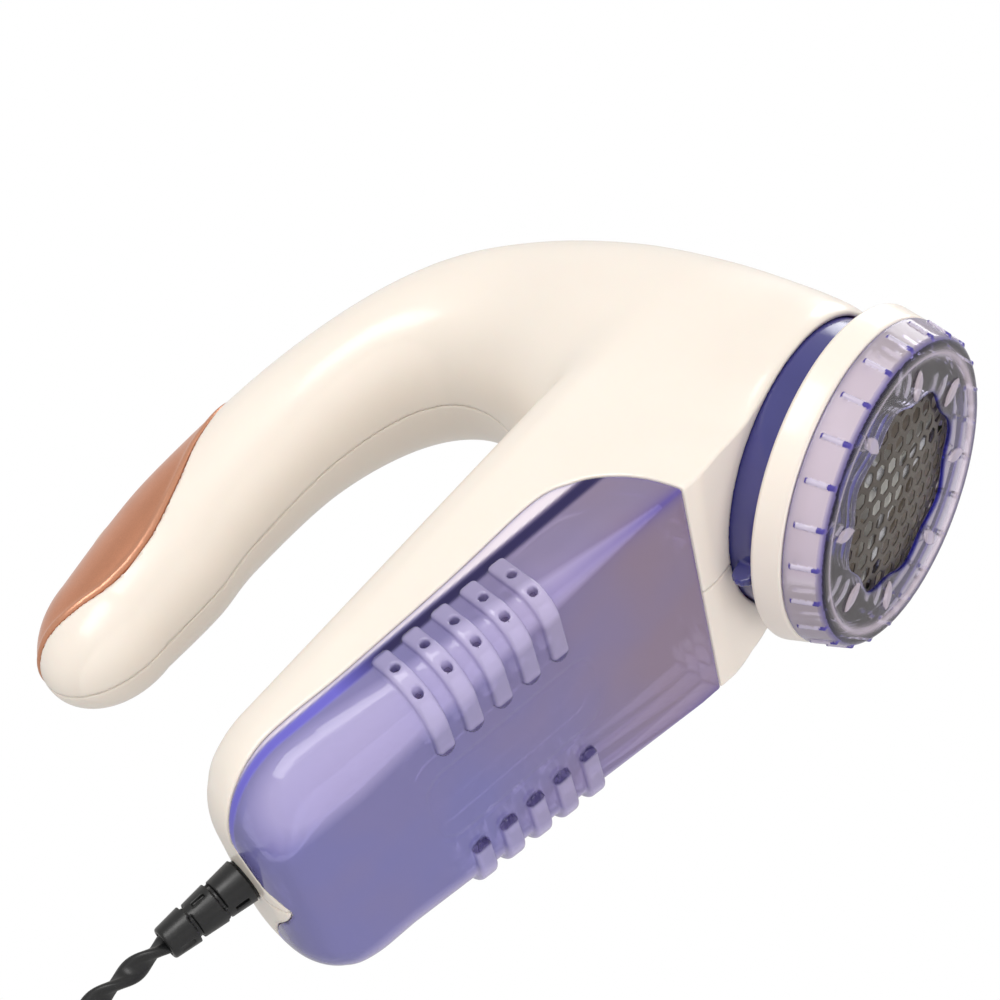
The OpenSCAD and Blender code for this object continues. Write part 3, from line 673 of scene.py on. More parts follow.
def make_bin():
    points, faces = surface_net(bin_field, BIN_LOW - 1.5, BIN_HIGH + 1.5, CELL * 0.8)
    made = new_object("lint_bin_clear", points, faces)
    x, y, z = points.T
    d, h = to_limb(x, z)
    limb = limb_local_field(d, y, h)
    outside = limb > -0.6
    region = bin_region(x, y, z)
    line = h - floor_height(d) + 1.1
    rim = np.exp(-np.abs(region + GAP) / 0.35)
    # A band along the housing floor's edge, seen through the wall: painted shade of the gap between the skirt and the
    # bin
    half_stripe = np.interp(d, [0, 70, LIMB_LENGTH], [1.9, 1.5, 0.9])
    gap_shade_band = np.exp(-(line / half_stripe) ** 6) * (outside & (d > 4))
    # fillet: a painted highlight along the rounded edge between the side wall and the bottom, widening toward the rear
    r_low = np.clip(d * 0.15, 0.9, 13)
    along_y = np.clip((np.abs(y) - LIMB_WIDTH + r_low) / r_low, 0, 1)
    along_h = np.clip((r_low - h) / r_low, 0, 1)
    fillet = np.clip(3.2 * along_y * along_h, 0, 1) * (d > 6)
    corner = np.exp(-np.hypot(np.abs(h), np.abs(np.abs(y) - LIMB_WIDTH)) / 2.0) * (d < 36)
    add_weight(made, "rim", np.maximum(rim, corner))
    add_weight(made, "gap_shade_band", gap_shade_band)
    add_weight(made, "rear", np.clip(d / LIMB_LENGTH, 0, 1))
    add_weight(made, "above", np.clip((line - half_stripe) / 0.5, 0, 1))
    add_weight(made, "fillet", fillet)
    add_weight(made, "rib", np.clip(limb / RIB_RISE, 0, 1))
    end = np.clip((RIB_REACH + RIB_W / 2 - np.abs(y)) / 0.6, 0, 1) * (h < 3)
    add_weight(made, "rib_end", end * np.clip(limb / 0.3, 0, 1))
    # side: the upper side wall, painted paler as a painted highlight
    add_weight(made, "side", np.clip((np.abs(y) - 24) / 7, 0, 1) * np.clip(h / 5, 0, 1))
    add_weight(made, "outside", outside.astype(float))
    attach(made, "bin")
    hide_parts("lint_bin")
    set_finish(made, "violet_clear")
    return made


# ---------------------------------------------------------------- cutting head
GUARD_OPEN, GUARD_WAVE, GUARD_LOBES = 21.5, 1.0, 8
GUARD_SKIN = rounded([
    (20, 0.7), (30.4, 0.7), (31.2, 0), (GUARD_HIGH[0] - 3.2, 0), (GUARD_HIGH[0] - 2, 1.1),
    (GUARD_HIGH[0], GUARD_TOP), (GUARD_HIGH[0] - 1.7, GUARD_TOP), (33.4, 2.2), (30.6, 1.9), (20, 1.7),
], 0.5, 2)
RIDGE_COUNT, RIDGE_HALF, RIDGE_RISE, RIDGE_MIDDLE, RIDGE_REACH = 24, 0.5, 0.75, 3.7, 3.0
FIN_R, FIN_HALF, FIN_W = 25.2, 3.6, 1.5


def ridge_offset(turn, r):
    """Distance round the guard to the middle of the nearest ridge."""
    pitch = 2 * math.pi / RIDGE_COUNT
    return np.abs((turn / pitch - np.round(turn / pitch)) * pitch * r)


def guard_field(x, y, z):
    r, turn = np.hypot(x, y), np.arctan2(y, x)
    skin = polygon_distance(r, z, GUARD_SKIN)
    wave = np.cos(GUARD_LOBES * turn)
    opening = (GUARD_OPEN + GUARD_WAVE * wave) - r
    skin = smooth_max(skin, opening, 0.4)
    wall = 35 + 2 * (z - 1.1) / (GUARD_TOP - 1.1) - 0.25
    ridge = smooth_all(0.3, ridge_offset(turn, r) - RIDGE_HALF, np.abs(r - wall) - RIDGE_RISE,
                       np.abs(z - RIDGE_MIDDLE) - RIDGE_REACH)
    skin = smooth_min(skin, ridge, 0.25)
    eighth = 2 * math.pi / GUARD_LOBES
    lean = (turn / eighth - 0.5 - np.round(turn / eighth - 0.5)) * eighth
    along, across = r * np.cos(lean) - FIN_R, r * np.sin(lean)
    leaf = np.abs(across) - FIN_W * np.clip(1 - (along / FIN_HALF) ** 2, 0, 1)
    leaf = np.maximum(leaf * 0.8, np.abs(along) - FIN_HALF)
    fin = smooth_all(0.3, leaf, -z + 0.02, z - 1.2)
    return smooth_min(skin, fin, 0.2)


def make_guard():
    low, high = GUARD_LOW - 1, GUARD_HIGH + 1
    points, faces = surface_net(guard_field, low, high, (0.38, 0.38, 0.26))
    made = new_object("guard_clear", points, faces)
    x, y, z = points.T
    r, turn = np.hypot(x, y), np.arctan2(y, x)
    inner = np.exp(-np.abs(r - GUARD_OPEN - GUARD_WAVE * np.cos(GUARD_LOBES * turn)) / 0.55)
    rear = np.exp(-np.abs(z - GUARD_TOP) / 0.35)
    eighth = 2 * math.pi / GUARD_LOBES
    lean = (turn / eighth - 0.5 - np.round(turn / eighth - 0.5)) * eighth
    fin = (np.abs(r * np.sin(lean)) < FIN_W) & (np.abs(r * np.cos(lean) - FIN_R) < FIN_HALF) & (z < 0.62)
    rim = np.exp(-((r - 31.3) / 0.9) ** 2) * (z < 0.8)
    outline = 0.9 * np.exp(-((r - 34.2) / 0.8) ** 2) * (z < 1.4)
    ridge = (ridge_offset(turn, r) < RIDGE_HALF + 0.15) & (np.abs(z - RIDGE_MIDDLE) < RIDGE_REACH + 0.2) & (r > 34)
    ends = (z < RIDGE_MIDDLE - RIDGE_REACH + 1.3) | (z > RIDGE_MIDDLE + RIDGE_REACH - 0.4)
    add_weight(made, "inner", inner)
    add_weight(made, "rear", np.maximum(rear, outline))
    add_weight(made, "frost", np.maximum(fin * 1.0, rim))
    add_weight(made, "side", (r > 34.2).astype(float))
    add_weight(made, "ridge", (ridge & ~ends).astype(float))
    add_weight(made, "ends", (ridge & ends).astype(float))
    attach(made, "guard")
    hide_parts("guard_cap")
    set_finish(made, "guard_clear")
    return made


FOIL_DOME = 422.0
HEX_PITCH, HEX_R, HEX_TURN, HEX_LIMIT = 4.75, 1.9, math.radians(22), 25.2


def foil_field(x, y, z):
    r = np.hypot(x, y)
    level = FOIL_LOW[2] + r * r / FOIL_DOME
    sheet = np.maximum(np.abs(z - level - 0.175) - 0.175, r - FOIL_R)
    c, s = math.cos(HEX_TURN), math.sin(HEX_TURN)
    u, v = x * c + y * s, y * c - x * s
    row_step = HEX_PITCH * math.sin(math.radians(60))
    hole = np.full(np.broadcast(x, y).shape, 1e9)
    base = np.floor(v / row_step)
    for step in (0, 1):
        row = base + step
        shift = np.where(row % 2 == 0, 0.0, HEX_PITCH / 2)
        column = np.round((u - shift) / HEX_PITCH)
        cu, cv = column * HEX_PITCH + shift, row * row_step
        p, q = np.abs(u - cu), np.abs(v - cv)
        side = np.maximum(p, p / 2 + q * math.sin(math.radians(60))) - HEX_R * math.cos(math.radians(30))
        hole = np.where(np.hypot(cu, cv) < HEX_LIMIT, np.minimum(hole, side), hole)
    return smooth_max(sheet, -hole, 0.12)


def make_foil():
    low, high = FOIL_LOW - 0.6, FOIL_HIGH + 0.6
    points, faces = surface_net(foil_field, low, high, (0.3, 0.3, 0.12))
    made = new_object("cutting_foil_pierced", points, faces)
    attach(made, "cutter_ring")
    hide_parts("cutting_foil")
    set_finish(made, "foil_steel")
    return made


def make_ring():
    bore = NECK_R + 0.06
    profile = rounded([
        (26.2, 3.62), (28.8, 3.62), (33.2, GUARD_TOP + 0.15), (36.6, GUARD_TOP + 0.15), (37.1, GUARD_TOP + 0.75),
        (RING_R, RING_TOP - 0.8), (RING_R - 0.8, RING_TOP), (bore, RING_TOP), (bore, 10), (26.2, 10),
    ], 0.45)
    points, faces = lathe(profile)
    made = new_object("foil_ring_moulded", points, faces)
    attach(made, "cutter_ring")
    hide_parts("foil_ring")
    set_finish(made, "cream_plastic")
    return made


def lever_field(x, y, z):
    """The collar with its lever: a wedge that grows out of the band."""
    r = np.hypot(x, y)
    inner, low, high = NECK_R + 0.06, RING_TOP + 0.1, COLLAR_HIGH[2]
    band = np.maximum(smooth_max(np.abs(z - (low + high) / 2) - (high - low) / 2, r - COLLAR_R, 0.5), inner - r)
    lever_z = 18.9
    swell = -COLLAR_LOW[0] - 1.6 * ((z - lever_z) / 2.5) ** 2
    wedge = smooth_all(0.5, -x - swell, np.abs(y) - 1.9 + 0.2 * (-x - 32), np.abs(z - lever_z) - 2.3)
    wedge = np.maximum(wedge, x + 31)
    grooves = np.abs((z - lever_z) / 1.4 - np.round((z - lever_z) / 1.4)) * 1.4 - 0.25
    wedge = smooth_max(wedge, -np.maximum(grooves, swell - 0.35 + x), 0.15)
    return smooth_min(band, wedge, 0.3)


def make_collar():
    points, faces = surface_net(lever_field, COLLAR_LOW - 0.8, COLLAR_HIGH + 0.8, 0.4)
    made = new_object("lock_collar_moulded", points, faces)
    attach(made, "collar")
    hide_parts("lock_collar")
    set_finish(made, "indigo_plastic")
    return made


# ---------------------------------------------------------------- cable
BOOT_STEPS = [(-7, 6.2), (-3.6, 4.4), (0.4, 4.95), (6.6, 4.75), (13, 4.35), (19.5, 3.85)]
BOOT_SLITS = (6.6, 13.0)


def boot_field(x, y, z):
    along, up = rotated(x - BOOT_PLACE[0], z - BOOT_PLACE[1], math.pi - BIN_SLOPE)
    radial = np.hypot(y, up)
    outer = np.where(along < -3.6, radial - 6.2, np.where(along < 0.3, radial - 4.4, 0))
    taper = radial - (4.95 - 0.055 * along - 0.35 * np.mod(np.maximum(along - 0.3, 0), 6.4) / 6.4)
    outer = np.where(along < 0.3, outer, taper)
    body = smooth_all(0.6, outer, -7 - along, along - 19.5)
    for k, place in enumerate(BOOT_SLITS):
        across = up if k % 2 else y
        ring = np.maximum(np.abs(along - place) - 0.45, 3.3 - radial)
        body = smooth_max(body, -np.maximum(ring, 1.3 - np.abs(across)), 0.2)
    for k, place in enumerate((3.4, 9.8, 16.2)):
        across = up if k % 2 else y
        notch = np.maximum(np.abs(along - place) - 1.5, np.abs(across) - 0.5)
        body = smooth_max(body, -np.maximum(notch, 3.6 - radial), 0.2)
    return np.maximum(body, CABLE_R + 0.06 - radial)


def make_boot():
    points, faces = surface_net(boot_field, BOOT_LOW - 0.8, BOOT_HIGH + 0.8, 0.28)
    made = new_object("cable_boot_segmented", points, faces)
    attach(made, "main")
    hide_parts("cable_boot")
    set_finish(made, "soft_black")
    return made


BOW_START, BOW_R, BOW_TURN = 32.0, 32.0, math.radians(60)
BOW_SLOPE = BOW_TURN - BIN_SLOPE
TWIST = math.radians(1000)


def cable_path(steps=160):
    """Middle of the cable from its clamp to the plug, in the plane Y = 0."""
    start = np.array([BOOT_PLACE[0], 0, BOOT_PLACE[1]])
    up = np.array([math.sin(BIN_SLOPE), 0, math.cos(BIN_SLOPE)])
    straight, total = BOW_START + 12, BOW_START + 12 + BOW_R * BOW_TURN
    out = []
    for run in np.linspace(0, total, steps):
        if run < straight:
            out.append(start + BOOT_AXIS * (run - 12))
        else:
            turn = (run - straight) / BOW_R
            out.append(start + BOOT_AXIS * (BOW_START + BOW_R * math.sin(turn)) - up * BOW_R * (1 - math.cos(turn)))
    return np.array(out)


def make_cable():
    """A flat twin flex: two cores side by side that twist slowly round each other."""
    path = cable_path()
    ring = 28
    turn = np.arange(ring) * 2 * math.pi / ring
    core = CABLE_R / 2
    wide = core * (1 + np.abs(np.cos(turn)) ** 0.7) * np.sign(np.cos(turn)) * np.abs(np.cos(turn)) ** 0.3
    deep = core * np.sin(turn) * (1 - 0.32 * np.exp(-(wide / (core * 0.35)) ** 2))
    wide = np.clip(wide, -2 * core, 2 * core)
    along = np.gradient(path, axis=0)
    along /= np.linalg.norm(along, axis=1)[:, None]
    points = []
    for k, (p, t) in enumerate(zip(path, along)):
        run = np.clip((k / len(path) - 0.28) / 0.68, 0, 1)
        roll = math.radians(90) + TWIST * run
        side, up = np.array([0, 1.0, 0]), np.cross(t, (0, 1.0, 0))
        a = math.cos(roll) * side + math.sin(roll) * up
        b = -math.sin(roll) * side + math.cos(roll) * up
        points.append(p + wide[:, None] * a + deep[:, None] * b)
    points = np.vstack(points)
    faces = []
    for k in range(len(path) - 1):
        for i in range(ring):
            j = (i + 1) % ring
            faces.append((k * ring + i, k * ring + j, (k + 1) * ring + j, (k + 1) * ring + i))
    last = (len(path) - 1) * ring
    faces.append(tuple(range(ring))[::-1])
    faces.append(tuple(last + i for i in range(ring)))
    made = new_object("power_cable_twin", points, faces)
    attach(made, "main")
    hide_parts("power_cable")
    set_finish(made, "soft_black")
    return made


PLUG_PLACE = cable_path()[-1]
PLUG_TILT = math.pi / 2 - BOW_SLOPE


def plug_field(x, y, z):
    dx, dz = x - PLUG_PLACE[0], z - PLUG_PLACE[2]
    c, s = math.cos(PLUG_TILT), math.sin(PLUG_TILT)
    lx, lz = dx * c - dz * s, dx * s + dz * c
    share = np.clip((-lz - 8) / 14, 0, 1)
    share = share * share * (3 - 2 * share)
    half_y, half_x = 4 + 12 * share, 4 + 2.8 * share
    qy, qx = np.maximum(np.abs(y) - half_y + half_x, 0), np.abs(lx)
    outer = np.hypot(qy, qx) - half_x
    grip = 0.35 * np.cos((lz + 30) * 2 * math.pi / 3.2) * np.exp(-((lz + 29.5) / 5.5) ** 4) * (np.abs(y) > 10)
    face = smooth_all(1.0, outer * 0.9 + grip, -38 - lz, lz + 0.2)
    bore = np.maximum(np.hypot(lx, y) - CABLE_R - 0.05, -13 - lz)
    pin = np.maximum(np.hypot(lx, np.abs(y) - 9.5) - 1.66, lz + 30)
    return smooth_max(smooth_max(face, -bore, 0.1), -pin, 0.1)


def make_plug():
    low, high = node_box("plug_body")
    points, faces = surface_net(plug_field, low - 1, high + 1, 0.5)
    made = new_object("plug_moulded", points, faces)
    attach(made, "main")
    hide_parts("plug_body")
    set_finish(made, "soft_black")
    return made


# ---------------------------------------------------------------- materials
def rgb(r, g, b):
    """A colour given as it looks on a screen, 0 to 255, in Blender's linear numbers."""
    def linear(v):
        v = v / 255
        return v / 12.92 if v <= 0.04045 else ((v + 0.055) / 1.055) ** 2.4
    return (linear(r), linear(g), linear(b), 1)


def scaled(colour, k):
    return tuple(min(1, c * k) for c in colour[:3]) + (1,)


class Finish:
    """A procedural material: short calls that add and join shader nodes."""

    def __init__(self, name):
        self.material = bpy.data.materials.new(name)
        self.material.use_nodes = True
        self.nodes = self.material.node_tree.nodes
        self.links = self.material.node_tree.links
        self.nodes.clear()
        self.output = self.nodes.new("ShaderNodeOutputMaterial")
        self.place = self.add("TexCoord").outputs["Object"]

    def add(self, kind, inputs=None, **settings):
        made = self.nodes.new("ShaderNode" + kind)
        for key, value in settings.items():
            setattr(made, key, value)
        for key, value in (inputs or {}).items():
            self.feed(made.inputs[key], value)
        return made

    def feed(self, socket, value):
        if isinstance(value, bpy.types.NodeSocket):
            self.links.new(value, socket)
        else:
            socket.default_value = value

    def noise(self, size_mm, detail=3.0, rough=0.55, stretch=(1, 1, 1)):
        place = self.add("VectorMath", {0: self.place, 1: stretch}, operation="MULTIPLY").outputs[0]
        inputs = {"Vector": place, "Scale": 1 / (size_mm * MM), "Detail": detail, "Roughness": rough}
        return self.add("TexNoise", inputs).outputs["Fac"]

    def math(self, operation, a, b=0.0, clamp=False):
        return self.add("Math", {0: a, 1: b}, operation=operation, use_clamp=clamp).outputs[0]

    def span(self, value, low, high, to_low=0.0, to_high=1.0):
        """Maps low..high onto to_low..to_high."""
        inputs = {"Value": value, "From Min": low, "From Max": high, "To Min": to_low, "To Max": to_high}
        return self.add("MapRange", inputs).outputs["Result"]

    def mix(self, share, a, b):
        made = self.add("Mix", data_type="RGBA")
        for socket, value in zip((made.inputs[0], made.inputs[6], made.inputs[7]), (share, a, b)):
            self.feed(socket, value)
        return made.outputs[2]

    def weight(self, name):
        return self.add("Attribute", attribute_name=name).outputs["Fac"]

    def bump(self, height, strength, distance_mm, normal=None):
        inputs = {"Height": height, "Strength": strength, "Distance": distance_mm * MM}
        if normal is not None:
            inputs["Normal"] = normal
        return self.add("Bump", inputs).outputs["Normal"]

    def worn_edges(self, low=0.56, high=0.66):
        """1 on sharp outside edges, 0 elsewhere, broken up a little."""
        sharp = self.span(self.add("NewGeometry").outputs["Pointiness"], low, high)
        return self.math("MULTIPLY", sharp, self.span(self.noise(1.5), 0.35, 0.65), True)

    def principled(self, **inputs):
        named = {key.replace("_", " "): value for key, value in inputs.items()}
        return self.add("BsdfPrincipled", named).outputs[0]

    def done(self, surface):
        self.links.new(surface, self.output.inputs["Surface"])
        return self.material


def plastic(name, colour, rough, coat=0.0, grain=0.012, glow=0.0, tone=0.035, seam=False):
    """Moulded plastic: faint flow marks, fine grain, handling marks in the gloss, and slightly paler edges."""
    f = Finish(name)
    flow = f.span(f.noise(34, 2), 0.3, 0.7)
    cloud = f.mix(flow, scaled(colour, 1 - tone), scaled(colour, 1 + tone))
    base = f.mix(f.math("MULTIPLY", f.worn_edges(), 0.06), cloud, scaled(colour, 1.1))
    if seam:
        base = f.mix(f.math("MULTIPLY", f.weight("seam"), 0.06), base, scaled(colour, 0.6))
    smudge = f.span(f.noise(9, 3, 0.6), 0.4, 0.75)
    gloss = f.math("ADD", rough, f.math("MULTIPLY", smudge, rough * 0.2))
    fine = f.bump(f.noise(0.35, 2), 0.2, grain)
    wavy = f.bump(f.noise(22, 1), 0.05, 0.05, fine)
    surface = f.principled(Base_Color=base, Roughness=gloss, Normal=wavy, Coat_Weight=coat, Coat_Roughness=0.06,
                           Subsurface_Weight=glow, Subsurface_Scale=0.002, IOR=1.5)
    return f.done(surface)


def metal(name, colour, rough, brushed=(1, 1, 1), size=0.4, tint=0.12, depth=0.01, metallic=1.0):
    """Bare metal: drawn or turned marks, uneven tone, and bright worn edges."""
    f = Finish(name)
    marks = f.noise(size, 4, 0.7, brushed)
    tone = f.span(f.noise(7, 3), 0.3, 0.7)
    base = f.mix(tone, scaled(colour, 1 - tint), scaled(colour, 1 + tint))
    base = f.mix(f.math("MULTIPLY", f.worn_edges(), 0.5), base, scaled(colour, 1.5))
    gloss = f.span(marks, 0.3, 0.7, rough * 0.75, rough * 1.3)
    surface = f.principled(Base_Color=base, Roughness=gloss, Metallic=metallic,
                           Normal=f.bump(marks, 0.4, depth))
    return f.done(surface)


def rubber(name, colour, rough=0.5, grain=0.03):
    """Soft plastic or rubber: a fine matt grain with dust in it."""
    f = Finish(name)
    dust = f.span(f.noise(3.5, 5, 0.7), 0.5, 0.8, 0, 0.25)
    base = f.mix(dust, colour, scaled(colour, 2.2))
    base = f.mix(f.math("MULTIPLY", f.worn_edges(), 0.4), base, scaled(colour, 3))
    gloss = f.span(f.noise(6, 3), 0.3, 0.7, rough * 0.85, rough * 1.2)
    surface = f.principled(Base_Color=base, Roughness=gloss, Normal=f.bump(f.noise(0.3, 3), 0.5, grain))
    return f.done(surface)


def copper_paint():
    """Satin copper lacquer: fine metal flake under a thin coat, and a painted highlight along the lip at the lower
    edge.
    """
    f = Finish("copper_trim")
    colour = rgb(206, 142, 110)
    flake = f.add("TexVoronoi", {"Vector": f.place, "Scale": 1 / (0.16 * MM)}).outputs["Color"]
    sparkle = f.add("SeparateColor", {0: flake}).outputs[0]
    tone = f.mix(f.span(f.noise(26, 2), 0.3, 0.7), scaled(colour, 0.94), scaled(colour, 1.06))
    base = f.mix(f.math("MULTIPLY", sparkle, 0.16), tone, scaled(colour, 1.5))
    # Painted highlight: the lip at the lower edge painted a paler copper
    base = f.mix(f.math("MULTIPLY", f.weight("edge"), 0.4), base, rgb(226, 176, 148))
    gloss = f.span(f.noise(8, 4, 0.65), 0.4, 0.75, 0.3, 0.42)
    surface = f.principled(Base_Color=base, Metallic=0.72, Roughness=gloss, Coat_Weight=0.25,
                           Coat_Roughness=0.12, Normal=f.bump(sparkle, 0.12, 0.01))
    return f.done(surface)


def clear_surface(f, tint, milk_colour, milk, rough, normal):
    """A thin clear plastic: coloured see-through, some scatter in it, and a gloss that rises with the angle."""
    through = f.add("BsdfTransparent", {"Color": tint}).outputs[0]
    scatter = f.add("BsdfTranslucent", {"Color": milk_colour, "Normal": normal}).outputs[0]
    matt = f.add("BsdfDiffuse", {"Color": milk_colour, "Normal": normal}).outputs[0]
    soft = f.add("MixShader", {0: 0.8, 1: scatter, 2: matt}).outputs[0]
    body = f.add("MixShader", {0: milk, 1: through, 2: soft}).outputs[0]
    gloss = f.add("BsdfGlossy", {"Color": (1, 1, 1, 1), "Roughness": rough, "Normal": normal}).outputs[0]
    fresnel = f.add("Fresnel", {"IOR": 1.45, "Normal": normal}).outputs[0]
    return f.add("MixShader", {0: fresnel, 1: body, 2: gloss}).outputs[0]


def violet_clear():
    """The lint bin's tinted plastic: mauve at the front, violet behind, blue-violet where the wall is cut or thick,
    with a band of painted shade along the gap at the housing floor's edge and painted highlights on the side wall and
    the lower fillet.
    """
    f = Finish("violet_clear")
    facing = f.add("LayerWeight", {"Blend": 0.5}).outputs["Facing"]
    deep = f.span(f.math("POWER", facing, 4), 0, 1, 0, 0.9)
    edge_blue = (0.10, 0.07, 0.40, 1)
    # The band at the housing floor's edge is painted shade of the gap there: near-black at the front, turning bright
    # blue toward the rear
    stripe_share = f.span(f.weight("rear"), 0.60, 0.72)
    stripe_colour = f.mix(stripe_share, rgb(38, 30, 84), rgb(116, 110, 214))
    tint = f.mix(deep, (0.78, 0.75, 0.90, 1), (0.38, 0.33, 0.72, 1))
    tint = f.mix(f.weight("rim"), tint, edge_blue)
    tint = f.mix(f.weight("gap_shade_band"), tint, stripe_colour)
    cloud = f.span(f.noise(30, 2), 0.35, 0.65, -0.15, 0.15)
    back_share = f.math("ADD", f.span(f.weight("rear"), 0.12, 0.6), cloud, True)
    body = f.mix(back_share, rgb(178, 156, 180), rgb(152, 150, 216))
    # Painted highlight: the side wall paler lavender
    body = f.mix(f.math("MULTIPLY", f.weight("side"), 0.3), body, rgb(186, 178, 224))
    body = f.mix(deep, body, rgb(104, 96, 190))
    body = f.mix(f.weight("above"), body, rgb(250, 240, 250))
    # Painted highlight along the lower fillet
    body = f.mix(f.math("MULTIPLY", f.weight("fillet"), 0.5), body, rgb(214, 204, 240))
    body = f.mix(f.math("MULTIPLY", f.weight("rib"), 0.5), body, rgb(206, 198, 232))
    body = f.mix(f.weight("rib_end"), body, rgb(70, 60, 122))
    body = f.mix(f.weight("rim"), body, edge_blue)
    body = f.mix(f.weight("gap_shade_band"), body, stripe_colour)
    milk = f.math("MULTIPLY", f.weight("outside"), 0.6)
    # More scatter where marks are painted, among them the painted gap shade band and the painted fillet highlight
    for name, share in (("gap_shade_band", 0.5), ("above", 0.4), ("fillet", 0.2), ("rib", 0.1), ("rim", 0.3)):
        milk = f.math("ADD", milk, f.math("MULTIPLY", f.weight(name), share), True)
    fine = f.bump(f.noise(0.5, 2), 0.12, 0.008)
    normal = f.bump(f.noise(13, 2), 0.12, 0.06, fine)
    rough = f.span(f.noise(7, 4, 0.65), 0.4, 0.75, 0.05, 0.12)
    return f.done(clear_surface(f, tint, body, milk, rough, normal))


def guard_clear():
    """The guard's nearly colourless plastic, with violet in its thick edges and frosted fins."""
    f = Finish("guard_clear")
    facing = f.add("LayerWeight", {"Blend": 0.5}).outputs["Facing"]
    deep = f.span(f.math("POWER", facing, 3), 0, 1, 0, 0.7)
    tint = f.mix(deep, (0.90, 0.89, 0.95, 1), (0.50, 0.46, 0.80, 1))
    tint = f.mix(f.weight("inner"), tint, (0.05, 0.05, 0.50, 1))
    tint = f.mix(f.weight("rear"), tint, (0.22, 0.18, 0.60, 1))
    tint = f.mix(f.weight("ends"), tint, (0.10, 0.08, 0.50, 1))
    frost = f.math("MULTIPLY", f.weight("frost"), 0.55)
    milk = f.math("ADD", f.math("ADD", 0.04, frost), f.math("MULTIPLY", f.weight("side"), 0.42), True)
    milk = f.math("ADD", milk, f.math("MULTIPLY", f.weight("ridge"), 0.25), True)
    milk = f.math("ADD", milk, f.math("MULTIPLY", f.weight("inner"), 0.3), True)
    milk = f.math("ADD", milk, f.math("MULTIPLY", f.weight("ends"), 0.3), True)
    milk_colour = f.mix(f.weight("ridge"), rgb(246, 232, 242), rgb(228, 220, 240))
    milk_colour = f.mix(f.weight("ends"), milk_colour, rgb(84, 74, 168))
    milk_colour = f.mix(f.weight("rear"), milk_colour, rgb(132, 120, 200))
    milk_colour = f.mix(deep, milk_colour, rgb(84, 78, 172))
    milk_colour = f.mix(f.weight("inner"), milk_colour, (0.02, 0.02, 0.30, 1))
    fine = f.bump(f.noise(0.5, 2), 0.12, 0.008)
    normal = f.bump(f.noise(9, 2), 0.12, 0.05, fine)
    rough = f.span(f.noise(6, 4, 0.65), 0.4, 0.75, 0.06, 0.14)
    return f.done(clear_surface(f, tint, milk_colour, milk, rough, normal))


def banded(name, colour, dark, pitch_mm, rough, metallic, axis="Z"):
    """Wire laid side by side, as in a winding, with painted shade in the gaps between the turns."""
    f = Finish(name)
    wave = f.add("TexWave", {"Vector": f.place, "Scale": 1 / (pitch_mm * MM * 20), "Distortion": 0.4,
                             "Detail": 1}, bands_direction=axis).outputs["Fac"]
    # The low bands of the wave are painted shade in the grooves between the turns
    base = f.mix(f.span(wave, 0.1, 0.5), dark, f.mix(f.noise(2), scaled(colour, 0.8), scaled(colour, 1.2)))
    surface = f.principled(Base_Color=base, Roughness=rough, Metallic=metallic, Normal=f.bump(wave, 0.6, 0.12))
    return f.done(surface)


def board_green():
    """Circuit board: green lacquer over glass cloth, with paler copper runs under it."""
    f = Finish("circuit_green")
    brick = f.add("TexBrick", {"Vector": f.place, "Scale": 1 / (9 * MM), "Color1": (0, 0, 0, 1),
                               "Color2": (0.15, 0.15, 0.15, 1), "Mortar": (1, 1, 1, 1), "Mortar Size": 0.05}).outputs["Color"]
    cloth = f.noise(0.6, 2, 0.6, (1, 1, 0.2))
    green = f.mix(cloth, rgb(12, 74, 44), rgb(20, 96, 58))
    base = f.mix(brick, green, rgb(52, 132, 84))
    return f.done(f.principled(Base_Color=base, Roughness=0.32, Normal=f.bump(brick, 0.3, 0.05)))


FINISHES = {
    "cream_plastic": lambda: plastic("cream_plastic", rgb(240, 231, 220), 0.28, 0.35, glow=0.06, tone=0.012, seam=True),
    "cream_inner": lambda: plastic("cream_inner", rgb(232, 222, 210), 0.34),
    "copper_trim": copper_paint,
    "switch_knob": lambda: plastic("switch_knob", rgb(226, 212, 194), 0.36, grain=0.02),
    "violet_clear": violet_clear,
    "guard_clear": guard_clear,
    "indigo_plastic": lambda: plastic("indigo_plastic", rgb(62, 62, 128), 0.16, 0.5, tone=0.08),
    "foil_steel": lambda: metal("foil_steel", rgb(118, 112, 106), 0.42, (1, 6, 1), 0.5),
    "steel": lambda: metal("steel", rgb(196, 197, 202), 0.2, (1, 1, 9), 0.35),
    "white_plastic": lambda: plastic("white_plastic", rgb(234, 234, 228), 0.42, grain=0.02),
    "black_plastic": lambda: rubber("black_plastic", rgb(40, 40, 43), 0.4, 0.02),
    "soft_black": lambda: rubber("soft_black", rgb(20, 21, 22), 0.34, 0.012),
    "seal_rubber": lambda: rubber("seal_rubber", rgb(66, 66, 70), 0.62, 0.04),
    "magnet": lambda: metal("magnet", rgb(70, 70, 74), 0.6, size=0.6, metallic=0.3),
    "copper_winding": lambda: banded("copper_winding", rgb(196, 104, 58), rgb(60, 26, 14), 0.5, 0.3, 0.85),
    "bronze": lambda: metal("bronze", rgb(178, 134, 76), 0.42, size=0.3),
    "brass": lambda: metal("brass", rgb(210, 184, 126), 0.2, (9, 1, 1), 0.4),
    "carbon": lambda: rubber("carbon", rgb(44, 42, 42), 0.55, 0.05),
    "circuit_green": board_green,
    "capacitor_sleeve": lambda: plastic("capacitor_sleeve", rgb(34, 44, 96), 0.24, 0.2),
    "wire_red": lambda: plastic("wire_red", rgb(176, 36, 30), 0.38, grain=0.02),
}

